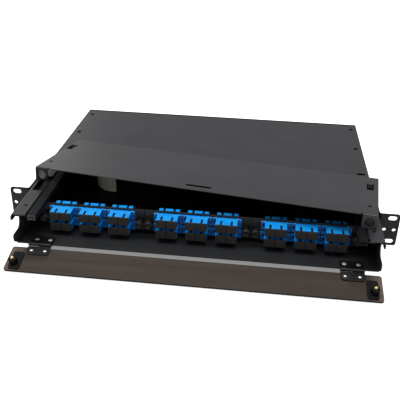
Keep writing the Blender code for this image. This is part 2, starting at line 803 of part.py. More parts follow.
def tray_section():
    """Right-hand half of the tray's section: floor bend, wall and inverted channel."""
    outer = TRAY_HALF
    inner = TRAY_HALF - TRAY_SHEET
    edge = TRAY_HALF - TRAY_CHANNEL_WIDTH
    centre = (TRAY_HALF - BEND, TRAY_BOTTOM + BEND)
    return arc(centre, BEND, -90, 0, 2) + [
        (outer, TRAY_TOP),
        (edge, TRAY_TOP),
        (edge, CHANNEL_BOTTOM),
        (edge + TRAY_SHEET, CHANNEL_BOTTOM),
        (edge + TRAY_SHEET, TRAY_TOP - TRAY_SHEET),
        (inner, TRAY_TOP - TRAY_SHEET),
    ] + arc(centre, BEND - TRAY_SHEET, 0, -90, 2)


def make_tray():
    """Tray with a floor behind the plates, side channels that run on the rails and a front frame."""
    floor_top = TRAY_BOTTOM + TRAY_SHEET
    front = FRONT + SLIDE_CLEARANCE
    rear = front + TRAY_LENGTH
    tray = sheet("tray", mirrored(tray_section()), [], front, rear, axis="Y")
    under = CHANNEL_BOTTOM - GAP
    reach = TRAY_HALF + TRAY_SHEET
    cut(tray, [block("bay", (-reach, front - SHEET, 0.0), (reach, FRAME_FRONT, under))])
    pieces = []
    for side in (-1, 1):
        near = side * (TRAY_HALF - TRAY_SHEET / 2)
        far = side * (RAIL_OUTER - RAIL_SHEET - GAP)
        low = (min(near, far), FRONT + RAIL_FRONT + SLIDE_CLEARANCE, RUNNER_BOTTOM)
        high = (max(near, far), rear - SLIDE_CLEARANCE, RUNNER_BOTTOM + TRAY_RUNNER_SHEET)
        pieces.append(block("runner", low, high))
        middle = side * (TRAY_HALF - TRAY_CHANNEL_WIDTH / 2)
        height = TRAY_TOP - CHANNEL_BOTTOM
        centre = (middle, CHANNEL_BOTTOM + height / 2)
        width = TRAY_CHANNEL_WIDTH - TRAY_SHEET
        nose = rounded_rectangle(centre, width, height - TRAY_SHEET, TRAY_SHEET / 2, 1)
        hole = slot(centre, 0.7 * TRAY_CHANNEL_WIDTH, TRAY_NOSE_SLOT, 2)
        start = front + TRAY_SHEET / 4
        pieces.append(sheet("nose", nose, [hole], start, start + TRAY_SHEET, axis="Y"))
    frame_holes = []
    window = (PLATE_PITCH - 4 * RIVET_INSET, PLATE_HEIGHT - 3.5 * TRAY_SHEET)
    for index in range(PLATE_COUNT):
        centre = (plate_centre(index), PLATE_MID)
        frame_holes.append(rounded_rectangle(centre, *window, TRAY_SHEET, 2))
    for x in rivet_places():
        frame_holes.append(circle((x, PLATE_MID), RIVET_HOLE_RADIUS, SMALL_HOLE_STEPS))
    half = TRAY_HALF - TRAY_SHEET / 2
    frame = rectangle((-half, TRAY_BOTTOM + TRAY_SHEET / 4), (half, PLATE_TOP - 2 * GAP))
    start = FRAME_FRONT + TRAY_SHEET / 8
    pieces.append(sheet("frame", frame, frame_holes, start, start + TRAY_SHEET, axis="Y"))
    lip = rectangle((-half, TRAY_BOTTOM + TRAY_SHEET / 4), (half, TRAY_BOTTOM + TRAY_REAR_LIP))
    pieces.append(sheet("lip", lip, [], rear - 9 * TRAY_SHEET / 8, rear - TRAY_SHEET / 8, axis="Y"))
    unite(tray, pieces)
    slots = []
    for row in range(TIE_SLOT_ROWS):
        y = FRAME_FRONT + (rear - FRAME_FRONT) * (row + 0.85) / (TIE_SLOT_ROWS + 0.7)
        for column in range(TIE_SLOT_COLUMNS):
            x = TRAY_HALF * (2 * (column + 0.75) / (TIE_SLOT_COLUMNS + 0.5) - 1)
            outline = slot((x, y), TIE_SLOT_LENGTH, TIE_SLOT_WIDTH, 2)
            slots.append(sheet("tie", outline, [], TRAY_BOTTOM - SHEET, floor_top + SHEET))
    return cut(tray, slots)


def adapter_places():
    """Places of the adapters: plate index, X and Z of each one."""
    places = []
    for index in range(PLATE_COUNT):
        for row in range(ADAPTER_ROWS):
            z = PLATE_MID + ((ADAPTER_ROWS - 1) / 2 - row) * ADAPTER_ROW_PITCH
            for column in range(ADAPTER_COLUMNS):
                x = plate_centre(index) + (column - (ADAPTER_COLUMNS - 1) / 2) * ADAPTER_PITCH
                places.append((index, x, z))
    return places


def make_plate(index):
    """Adapter plate with a window for each adapter and a hole for each rivet."""
    width = PLATE_PITCH - PLATE_SEAM
    centre = (plate_centre(index), PLATE_MID)
    outline = rounded_rectangle(centre, width, PLATE_HEIGHT, PLATE_CORNER, 2)
    holes = []
    for owner, x, z in adapter_places():
        if owner == index:
            low = (x - ADAPTER_WIDTH / 2 - GAP, z - ADAPTER_HEIGHT / 2 - GAP)
            high = (x + ADAPTER_WIDTH / 2 + GAP, z + ADAPTER_HEIGHT / 2 + GAP)
            holes.append(rectangle(low, high))
    for x in rivet_places()[2 * index:2 * index + 2]:
        holes.append(circle((x, PLATE_MID), RIVET_HOLE_RADIUS, SMALL_HOLE_STEPS))
    return sheet("plate", outline, holes, PLATE_FRONT, PLATE_FRONT + PLATE_SHEET, axis="Y")


def make_adapter():
    """Duplex adapter at the origin, with its flange's rear face in the plane of the plate's front."""
    half = (ADAPTER_WIDTH / 2, ADAPTER_HEIGHT / 2)
    nose = -ADAPTER_NOSE
    tail = PLATE_SHEET + ADAPTER_TAIL
    adapter = block("adapter", (-half[0], nose, -half[1]), (half[0], tail, half[1]))
    wide = ADAPTER_FLANGE_WIDTH / 2
    low = (-wide, -GAP - ADAPTER_FLANGE_SHEET, -ADAPTER_FLANGE_DROP)
    unite(adapter, [block("flange", low, (wide, -GAP, half[1] + ADAPTER_FLANGE_RISE))])
    middle = (nose + tail) / 2
    cuts = []
    for side in (-1, 1):
        x = side * PORT_PITCH / 2
        port = (x - PORT_WIDTH / 2, x + PORT_WIDTH / 2)
        ends = ((nose - SHEET, middle - PORT_WALL / 2), (middle + PORT_WALL / 2, tail + SHEET))
        for start, end in ends:
            low = (port[0], start, -PORT_HEIGHT / 2)
            cuts.append(block("port", low, (port[1], end, PORT_HEIGHT / 2)))
        key = (x - KEY_WIDTH / 2, x + KEY_WIDTH / 2)
        for start, end in ((nose - SHEET, nose + KEY_LENGTH), (tail - KEY_LENGTH, tail + SHEET)):
            cuts.append(block("key", (key[0], start, 0.0), (key[1], end, ADAPTER_HEIGHT)))
    cut(adapter, cuts)
    sleeves = []
    bores = []
    for side in (-1, 1):
        x = side * PORT_PITCH / 2
        ends = (middle - SLEEVE_REACH, middle + SLEEVE_REACH)
        sleeves.append(rod("sleeve", (x, ends[0], 0), (x, ends[1], 0), SLEEVE_RADIUS, SLEEVE_STEPS))
        bores.append(rod("bore", (x, nose, 0), (x, tail, 0), SLEEVE_BORE, SLEEVE_STEPS))
    unite(adapter, sleeves)
    return cut(adapter, bores)


def make_dust_cap():
    """Duplex dust cap at the origin, with the rear of its front plate just ahead of the adapter."""
    back = -ADAPTER_NOSE - GAP
    front = back - CAP_SHEET
    outline = rounded_rectangle((0, 0), CAP_WIDTH, CAP_HEIGHT, CAP_CORNER, 2)
    cap = sheet("cap", outline, [], front, back, axis="Y")
    plugs = []
    for side in (-1, 1):
        x = side * PORT_PITCH / 2
        reach = (PORT_WIDTH / 2 - GAP, PORT_HEIGHT / 2 - GAP)
        low = (x - reach[0], back - CAP_SHEET / 2, -reach[1])
        plugs.append(block("plug", low, (x + reach[0], back + CAP_PLUG_LENGTH, reach[1])))
    unite(cap, plugs)
    low = (-CAP_GROOVE / 2, front - GAP, -CAP_HEIGHT)
    high = (CAP_GROOVE / 2, front + CAP_SHEET / 2, CAP_HEIGHT)
    return cut(cap, [block("groove", low, high)])


def make_rivet():
    """Push-pull rivet at the origin, with its shank through the plate and the frame."""
    shank = RIVET_HOLE_RADIUS - GAP
    frame_back = FRAME_FRONT + 9 * TRAY_SHEET / 8 - PLATE_FRONT
    collar = -GAP
    knob_back = collar - RIVET_COLLAR - RIVET_NECK_LENGTH
    knob_front = knob_back - RIVET_KNOB_LENGTH
    tip = frame_back + RIVET_TIP_LENGTH
    profile = [
        (0.0, -knob_front),
        (RIVET_END_SHARE * RIVET_KNOB_RADIUS, -knob_front),
        (RIVET_KNOB_RADIUS, -knob_front - 0.25 * RIVET_KNOB_LENGTH),
        (RIVET_KNOB_RADIUS, -knob_back + 0.25 * RIVET_KNOB_LENGTH),
        (0.55 * RIVET_KNOB_RADIUS, -knob_back),
        (0.55 * RIVET_KNOB_RADIUS, -collar + RIVET_COLLAR),
        (0.95 * RIVET_KNOB_RADIUS, -collar + RIVET_COLLAR),
        (0.95 * RIVET_KNOB_RADIUS, -collar),
        (shank, -collar),
        (shank, -frame_back),
        (RIVET_END_SHARE * shank, -tip),
        (0.0, -tip),
    ]
    rivet = turned("rivet", profile)
    rivet.data.transform(Matrix.Rotation(math.pi / 2, 4, "X"))
    return rivet


def half_ring(centre, outer, inner, spread):
    """Outline of a ring that is open to the right and spreads over an angle in degrees."""
    start = 180 - spread / 2
    end = 180 + spread / 2
    return arc(centre, outer, start, end, 4 * ARC_STEPS) + arc(centre, inner, end, start, 4 * ARC_STEPS)


def make_spool():
    """Half-round spool wall that keeps the slack fibre on its bend radius, with its foot."""
    centre = (SPOOL_X, FRONT + SPOOL_BACK)
    base = TRAY_BOTTOM + TRAY_SHEET + GAP
    inside = SPOOL_RADIUS - SPOOL_WALL
    middle = SPOOL_RADIUS - SPOOL_WALL / 2
    wall = sheet("spool", half_ring(centre, SPOOL_RADIUS, inside, SPOOL_ARC), [], base, base + SPOOL_HEIGHT)
    foot = half_ring(centre, middle, inside - SPOOL_BASE_WIDTH, SPOOL_FOOT_ARC)
    rim = half_ring(centre, SPOOL_RADIUS + SPOOL_WALL, middle, SPOOL_RIM_ARC)
    top = base + SPOOL_HEIGHT - SPOOL_WALL
    low = sheet("foot", foot, [], base, base + SPOOL_WALL / 2)
    return unite(wall, [low, sheet("rim", rim, [], top, top + SPOOL_WALL / 2)])


# Door, hinges and latches, modelled flat about the hinge axis


def door_face():
    """Height of the door's inner face above the hinge axis, negative as it lies below."""
    return -KNUCKLE_RADIUS - GAP


def make_door():
    """Clear door plate with holes for its hinge leaves and latches."""
    top = door_face()
    centre = (0.0, -DOOR_EDGE_OFFSET - DOOR_HEIGHT / 2)
    outline = rounded_rectangle(centre, DOOR_WIDTH, DOOR_HEIGHT, DOOR_CORNER)
    holes = []
    for side in (-1, 1):
        for place in hinge_holes(side, -1):
            holes.append(circle(place, HINGE_DOOR_HOLE_RADIUS, SMALL_HOLE_STEPS))
        latch = (side * LATCH_X, -LATCH_OUT)
        holes.append(circle(latch, PLUNGER_RADIUS + GAP, SMALL_HOLE_STEPS))
    return sheet("door", outline, holes, top - DOOR_SHEET, top)


def make_door_leaf(side):
    """Leaf on the door, with the right half of the knuckle and the hinge pin."""
    low = -KNUCKLE_RADIUS
    outline = leaf_outline(side, -1)
    holes = []
    for place in hinge_holes(side, -1):
        holes.append(circle(place, HINGE_DOOR_HOLE_RADIUS, SMALL_HOLE_STEPS))
    leaf = sheet("leaf", outline, holes, low, low + HINGE_SHEET)
    middle = side * HINGE_X
    right = middle + HINGE_WIDTH / 2
    left = middle - HINGE_WIDTH / 2
    knuckle = rod("knuckle", (middle + GAP / 2, 0, 0), (right, 0, 0), KNUCKLE_RADIUS)
    pin = rod("pin", (left, 0, 0), (right - KNUCKLE_RADIUS, 0, 0), HINGE_PIN_RADIUS)
    return unite(leaf, [knuckle, pin])


def make_latch_base(side):
    """Latch guide on the door's inner face: a foot plate and a nose with the plunger's bore."""
    x = side * LATCH_X
    low = door_face() + GAP
    centre = (x, -LATCH_OUT)
    hole = circle(centre, PLUNGER_RADIUS + GAP, SMALL_HOLE_STEPS)
    middle = (x - side * LATCH_BASE_INWARD, -LATCH_OUT + LATCH_BASE_BACKWARD)
    size = (LATCH_BASE_WIDTH, LATCH_BASE_LENGTH)
    outline = rounded_rectangle(middle, *size, LATCH_BASE_CORNER, 2)
    foot = sheet("foot", outline, [hole], low, low + LATCH_BASE_SHEET)
    nose_start = low + LATCH_BASE_SHEET / 2
    nose_end = low + LATCH_BASE_SHEET + LATCH_NOSE_LENGTH
    nose = sheet("nose", circle(centre, LATCH_NOSE_RADIUS), [hole], nose_start, nose_end)
    return unite(foot, [nose])


def make_plunger():
    """Plunger at the origin: a knob below the door and a pin that stands out of the nose."""
    under = door_face() - DOOR_SHEET - GAP
    top = door_face() + GAP + LATCH_BASE_SHEET + LATCH_NOSE_LENGTH + PLUNGER_TIP
    profile = [
        (0.0, top),
        (0.6 * PLUNGER_RADIUS, top),
        (PLUNGER_RADIUS, top - 0.4 * PLUNGER_RADIUS),
        (PLUNGER_RADIUS, under),
        (PLUNGER_KNOB_RADIUS, under),
        (PLUNGER_KNOB_RADIUS, under - 0.7 * PLUNGER_KNOB_LENGTH),
        (0.8 * PLUNGER_KNOB_RADIUS, under - PLUNGER_KNOB_LENGTH),
        (0.0, under - PLUNGER_KNOB_LENGTH),
    ]
    return turned("plunger", profile)


# Assembly


def copy_of(item, offset):
    """Copy of a baked object, moved by an offset."""
    mesh = item.data.copy()
    mesh.transform(Matrix.Translation(offset))
    return add_object(item.name, mesh)


def main():
    """Build every piece in its place."""
    clear_scene()
    parts = make_collection("fibre_patch_panel")
    steel = make_material("black_powder_coat", (0.035, 0.036, 0.040), 0.42, 0.0)
    steel_dark = make_material("black_tray_coat", (0.020, 0.020, 0.023), 0.50, 0.0)
    ear_coat = make_material("black_ear_coat", (0.012, 0.012, 0.014), 0.45, 0.0)
    blue = make_material("blue_pbt", (0.010, 0.200, 0.800), 0.35)
    cap_black = make_material("dark_cap_plastic", (0.020, 0.018, 0.016), 0.55)
    nylon = make_material("black_nylon", (0.012, 0.012, 0.013), 0.50)
    brass = make_material("brass", (0.780, 0.570, 0.220), 0.28, 1.0)
    cream = make_material("cream_abs", (0.560, 0.540, 0.480), 0.50)
    smoke = make_material("smoked_acrylic", (0.100, 0.085, 0.075), 0.08, 0.0, 0.75)
    hinge_coat = make_material("black_hinge_coat", (0.016, 0.016, 0.018), 0.35, 0.0)

    finish(make_chassis(), "chassis", steel, parts)
    finish(make_rear_cover(), "rear_cover", steel, parts)
    for side, label in ((-1, "left"), (1, "right")):
        finish(make_ear(side), "rack_ear_" + label, ear_coat, parts)

    tilt = lid_tilt()
    corner = (LID_CORNER_X, FRONT + LID_CORNER_BACK, lid_height(tilt))
    lid_guide = guide("lid_guide", corner, (-tilt, 0.0, LID_YAW))
    finish(make_front_lid(), "front_lid", steel, parts, parent=lid_guide)

    finish(make_tray(), "slide_tray", steel_dark, parts, origin=(0.0, PLATE_FRONT, 0.0))
    for index, label in enumerate(("left", "middle", "right")):
        finish(make_plate(index), "adapter_plate_" + label, steel_dark, parts)
    adapter = make_adapter()
    cap = make_dust_cap()
    for number, (_, x, z) in enumerate(adapter_places(), start=1):
        place = (x, PLATE_FRONT, z)
        finish(copy_of(adapter, place), f"adapter_{number:02d}", blue, parts, origin=place)
        finish(copy_of(cap, place), f"dust_cap_{number:02d}", cap_black, parts, origin=place)
    rivet = make_rivet()
    for number, x in enumerate(rivet_places(), start=1):
        place = (x, PLATE_FRONT, PLATE_MID)
        finish(copy_of(rivet, place), f"plate_rivet_{number}", nylon, parts, origin=place)
    finish(make_spool(), "fibre_spool", cream, parts)

    door_guide = guide("door_guide", (0.0, HINGE_Y, HINGE_Z), (DOOR_DROOP, 0.0, 0.0))
    finish(make_door(), "front_door", smoke, parts, parent=door_guide)
    plunger = make_plunger()
    for side, label in ((-1, "left"), (1, "right")):
        finish(make_door_leaf(side), "door_hinge_" + label, hinge_coat, parts, parent=door_guide)
        finish(make_latch_base(side), "latch_guide_" + label, nylon, parts, parent=door_guide)
        place = (side * LATCH_X, -LATCH_OUT, 0.0)
        piece = copy_of(plunger, place)
        finish(piece, "latch_plunger_" + label, brass, parts, origin=place, parent=door_guide)
    for spare in (adapter, cap, rivet, plunger):
        bpy.data.objects.remove(spare, do_unlink=True)


main()
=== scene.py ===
"""Dresses the packed fibre patch panel: finer meshes, real finishes with painted shade and light in places, a
plain studio and a camera.

Lengths are metres in the part's own frame unless a name ends in _mm. Finished pieces keep their place
in their mesh and ride the body of the solids that they stand for.
"""
import logging
import math
from dataclasses import dataclass, field
from enum import Enum
from typing import Callable, Iterable, Sequence

import bmesh
import bpy
from mathutils import Euler, Matrix, Vector


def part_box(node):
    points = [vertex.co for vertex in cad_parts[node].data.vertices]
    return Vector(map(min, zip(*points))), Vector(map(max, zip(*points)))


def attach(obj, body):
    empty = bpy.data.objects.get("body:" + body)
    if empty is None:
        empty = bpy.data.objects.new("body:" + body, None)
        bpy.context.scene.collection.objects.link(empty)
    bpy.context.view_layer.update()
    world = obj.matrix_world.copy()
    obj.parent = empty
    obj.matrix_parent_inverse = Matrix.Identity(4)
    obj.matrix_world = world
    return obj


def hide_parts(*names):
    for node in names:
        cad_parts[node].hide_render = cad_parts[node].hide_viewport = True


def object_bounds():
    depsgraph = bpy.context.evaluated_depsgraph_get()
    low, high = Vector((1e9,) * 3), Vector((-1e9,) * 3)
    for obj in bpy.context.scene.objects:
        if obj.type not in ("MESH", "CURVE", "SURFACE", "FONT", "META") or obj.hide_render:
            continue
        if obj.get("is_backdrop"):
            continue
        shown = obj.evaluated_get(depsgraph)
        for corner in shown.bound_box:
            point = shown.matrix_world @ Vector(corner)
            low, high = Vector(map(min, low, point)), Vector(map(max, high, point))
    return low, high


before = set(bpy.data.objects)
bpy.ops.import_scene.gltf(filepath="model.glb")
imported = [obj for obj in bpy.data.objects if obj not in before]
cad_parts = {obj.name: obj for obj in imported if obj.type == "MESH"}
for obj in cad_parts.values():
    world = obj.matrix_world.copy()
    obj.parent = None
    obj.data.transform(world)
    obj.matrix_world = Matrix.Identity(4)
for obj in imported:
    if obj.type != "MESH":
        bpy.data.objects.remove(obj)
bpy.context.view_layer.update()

logging.basicConfig(level=logging.INFO, format="%(name)s: %(message)s")
LOG = logging.getLogger("patch_panel")

MM = 0.001
POINTS_APART = 0.000001
FLAT_ANGLE = math.radians(0.4)
EDGE_ANGLE = math.radians(32.0)
EDGE_STEPS = 2
FACES_UP = 0.9
SLOT_STEPS = 8
SLOT_MARGIN = 0.0002
DOOR_ANGLE = math.radians(14.0)
DOOR_FRAME = Matrix.Translation((0.0, -0.067, 0.0035)) @ Matrix.Rotation(DOOR_ANGLE, 4, "X")
LID_CORNER = (-0.2155, 0.0235, 0.06092)
LID_ANGLES = Euler((math.radians(-6.645), 0.0, math.radians(-8.5)))
LID_FRAME = Matrix.Translation(LID_CORNER) @ LID_ANGLES.to_matrix().to_4x4()


class Side(Enum):
    """The two ends of the panel, seen from the front."""

    LEFT = -1
    RIGHT = 1

    @property
    def label(self) -> str:
        """Side's word in the pieces' names."""
        return self.name.lower()


# Colour and nodes


def linear(hex_colour: str) -> tuple[float, float, float, float]:
    """Turn an sRGB hex colour into linear light.

    Args:
        hex_colour: Colour such as "#5f6062".

    Returns:
        Red, green, blue and an alpha of one.
    """
    channels = []
    for start in (1, 3, 5):
        value = int(hex_colour[start:start + 2], 16) / 255
        channels.append(value / 12.92 if value <= 0.04045 else ((value + 0.055) / 1.055) ** 2.4)
    return (channels[0], channels[1], channels[2], 1.0)


def add_node(
    tree: bpy.types.NodeTree,
    kind: str,
    settings: dict[str, object] | None = None,
    links: dict[str | int, bpy.types.NodeSocket | object] | None = None,
) -> bpy.types.Node:
    """Add a node with its settings and inputs.

    Args:
        tree: Node tree that takes the node.
        kind: Node's bl_idname.
        settings: Properties of the node by name.
        links: Inputs by name or number, each an output socket to link or a value to set.

    Returns:
        The new node.
    """
    node = tree.nodes.new(kind)
    for name, value in (settings or {}).items():
        setattr(node, name, value)
    for name, value in (links or {}).items():
        if isinstance(value, bpy.types.NodeSocket):
            tree.links.new(value, node.inputs[name])
        else:
            node.inputs[name].default_value = value
    return node


# Finishes


@dataclass(frozen=True)
class Finish:
    """A real finish: its colours, gloss and grain."""

    name: str
    slot: str
    colour: str
    roughness: float

    def shader(self) -> tuple[bpy.types.Material, bpy.types.NodeTree, bpy.types.Node]:
        """Make a material with a Principled shader that has the plain values.

        Returns:
            The material, its tree and its shader.
        """
        material = bpy.data.materials.new(self.name)
        material.use_nodes = True
        tree = material.node_tree
        shader = tree.nodes["Principled BSDF"]
        shader.inputs["Base Color"].default_value = linear(self.colour)
        shader.inputs["Roughness"].default_value = self.roughness
        material.diffuse_color = linear(self.colour)
        return material, tree, shader


def grain(
    tree: bpy.types.NodeTree, size_mm: float, detail: float = 2.0, rough: float = 0.5
) -> bpy.types.NodeSocket:
    """Noise with grains of a real size, on object coordinates.

    Args:
        tree: Material's tree.
        size_mm: Width of one grain.
        detail: Octaves of finer grain.
        rough: Strength of the finer grain.

    Returns:
        The noise's factor socket.
    """
    place = add_node(tree, "ShaderNodeTexCoord")
    noise = add_node(
        tree,
        "ShaderNodeTexNoise",
        links={
            "Vector": place.outputs["Object"],
            "Scale": 1.0 / (size_mm * MM),
            "Detail": detail,
            "Roughness": rough,
        },
    )
    return noise.outputs["Fac"]


def spread(
    tree: bpy.types.NodeTree, value: bpy.types.NodeSocket, low: float, high: float
) -> bpy.types.NodeSocket:
    """Map the middle of a noise to a range.

    Args:
        tree: Material's tree.
        value: Noise factor.
        low: Result for a dark grain.
        high: Result for a light grain.

    Returns:
        The mapped socket.
    """
    node = add_node(
        tree,
        "ShaderNodeMapRange",
        links={"Value": value, "From Min": 0.3, "From Max": 0.7, "To Min": low, "To Max": high},
    )
    return node.outputs["Result"]


def tint(
    tree: bpy.types.NodeTree, factor: bpy.types.NodeSocket, dark: str, light: str
) -> bpy.types.NodeSocket:
    """Mix two colours by a factor.

    Args:
        tree: Material's tree.
        factor: 0 for the dark colour, 1 for the light one.
        dark: Hex colour.
        light: Hex colour.

    Returns:
        The colour socket.
    """
    colours = {0: factor, 6: linear(dark), 7: linear(light)}
    mix = add_node(tree, "ShaderNodeMix", {"data_type": "RGBA"}, colours)
    return mix.outputs[2]


def bump(
    tree: bpy.types.NodeTree,
    shader: bpy.types.Node,
    height: bpy.types.NodeSocket,
    depth_mm: float,
    strength: float,
) -> None:
    """Drive the shader's normal by a height.

    Args:
        tree: Material's tree.
        shader: Principled shader.
        height: Height from 0 to 1.
        depth_mm: Depth of the relief.
        strength: How much of it is used.
    """
    relief = {"Height": height, "Distance": depth_mm * MM, "Strength": strength}
    node = add_node(tree, "ShaderNodeBump", links=relief)
    tree.links.new(node.outputs["Normal"], shader.inputs["Normal"])


@dataclass(frozen=True)
class PowderCoat(Finish):
    """Polyester powder baked on steel: a fine orange peel that turns highlights into a soft sheen."""

    light: str
    grain_mm: float = 0.9
    cloud_mm: float = 45.0
    depth_mm: float = 0.02
    specular: float = 0.5

    def build(self) -> bpy.types.Material:
        """Make the material, with pimples, faint clouds and a little change of gloss."""
        material, tree, shader = self.shader()
        pimples = grain(tree, self.grain_mm, 3.0, 0.6)
        clouds = grain(tree, self.cloud_mm, 2.0, 0.5)
        both = add_node(tree, "ShaderNodeMath", {"operation": "MULTIPLY"}, {0: pimples, 1: clouds})
        factor = spread(tree, clouds, 0.2, 0.8)
        speck = spread(tree, pimples, -0.35, 0.35)
        clamped = {"operation": "ADD", "use_clamp": True}
        total = add_node(tree, "ShaderNodeMath", clamped, {0: factor, 1: speck})
        tree.links.new(tint(tree, total.outputs[0], self.colour, self.light), shader.inputs["Base Color"])
        gloss = spread(tree, both.outputs[0], self.roughness - 0.05, self.roughness + 0.07)
        tree.links.new(gloss, shader.inputs["Roughness"])
        shader.inputs["Specular IOR Level"].default_value = self.specular
        bump(tree, shader, pimples, self.depth_mm, 0.6)
        return material


@dataclass(frozen=True)
class Moulding(Finish):
    """Injection-moulded plastic: a spark-eroded skin with a soft, even gloss and faint flow clouds."""

    light: str
    grain_mm: float = 0.35
    depth_mm: float = 0.008
    scatter_mm: float = 0.0
    specular: float = 0.5

    def build(self) -> bpy.types.Material:
        """Make the material, with a fine skin and slow changes of shade."""
        material, tree, shader = self.shader()
        skin = grain(tree, self.grain_mm, 2.0, 0.5)
        flow = spread(tree, grain(tree, 6.0, 2.0, 0.5), 0.0, 1.0)
        tree.links.new(tint(tree, flow, self.colour, self.light), shader.inputs["Base Color"])
        gloss = spread(tree, skin, self.roughness - 0.05, self.roughness + 0.05)
        tree.links.new(gloss, shader.inputs["Roughness"])
        shader.inputs["Specular IOR Level"].default_value = self.specular
        if self.scatter_mm > 0.0:
            shader.inputs["Subsurface Weight"].default_value = 0.15
            shader.inputs["Subsurface Scale"].default_value = self.scatter_mm * MM
        bump(tree, shader, skin, self.depth_mm, 0.5)
        return material


@dataclass(frozen=True)
class TurnedMetal(Finish):
    """Bare metal off a lathe or out of a press: bright, with fine tool lines that stretch the highlights."""

    dark: str
    line_mm: float = 0.25

    def build(self) -> bpy.types.Material:
        """Make the material, with fine lines and a little tarnish."""
        material, tree, shader = self.shader()
        shader.inputs["Metallic"].default_value = 1.0
        tarnish = spread(tree, grain(tree, 2.5, 3.0, 0.6), 0.0, 0.45)
        tree.links.new(tint(tree, tarnish, self.colour, self.dark), shader.inputs["Base Color"])
        lines = grain(tree, self.line_mm, 1.0, 0.4)
        gloss = spread(tree, lines, self.roughness - 0.06, self.roughness + 0.1)
        tree.links.new(gloss, shader.inputs["Roughness"])
        bump(tree, shader, lines, 0.004, 0.4)
        return material


@dataclass(frozen=True)
class SmokedAcrylic(Finish):
    """Cast acrylic dyed brown: glossy and nearly dark in the sheet, with painted light that makes it warmer
    and lighter toward its ends.
    """

    # Colour and reach of the painted light that lightens the door toward its ends
    warm: str = "#6a5a4f"
    alpha: float = 0.97
    glow_start: float = 0.196
    glow_end: float = 0.216

    def build(self) -> bpy.types.Material:
        """Make the material, with wavy streaks of tint, ends lightened by painted light and faint wipe marks.
        """
        material, tree, shader = self.shader()
        place = add_node(tree, "ShaderNodeTexCoord")
        parts = add_node(tree, "ShaderNodeSeparateXYZ", links={0: place.outputs["Object"]})
        reach = add_node(tree, "ShaderNodeMath", {"operation": "ABSOLUTE"}, {0: parts.outputs["X"]})
        ends = add_node(
            tree,
            "ShaderNodeMapRange",
            links={"Value": reach.outputs[0], "From Min": self.glow_start, "From Max": self.glow_end},
        )
        stretch = add_node(
            tree, "ShaderNodeMapping", links={"Vector": place.outputs["Object"], "Scale": (4.0, 90.0, 30.0)}
        )
        streaks = add_node(
            tree, "ShaderNodeTexNoise", links={"Vector": stretch.outputs[0], "Scale": 1.0, "Detail": 2.0}
        )
        soft = spread(tree, streaks.outputs["Fac"], 0.0, 0.16)
        clamped = {"operation": "ADD", "use_clamp": True}
        total = add_node(tree, "ShaderNodeMath", clamped, {0: soft, 1: ends.outputs["Result"]})
        tree.links.new(tint(tree, total.outputs[0], self.colour, self.warm), shader.inputs["Base Color"])
        wipes = spread(tree, grain(tree, 14.0, 3.0, 0.6), self.roughness - 0.03, self.roughness + 0.05)
        tree.links.new(wipes, shader.inputs["Roughness"])
        shader.inputs["Alpha"].default_value = self.alpha
        shader.inputs["IOR"].default_value = 1.49
        return material


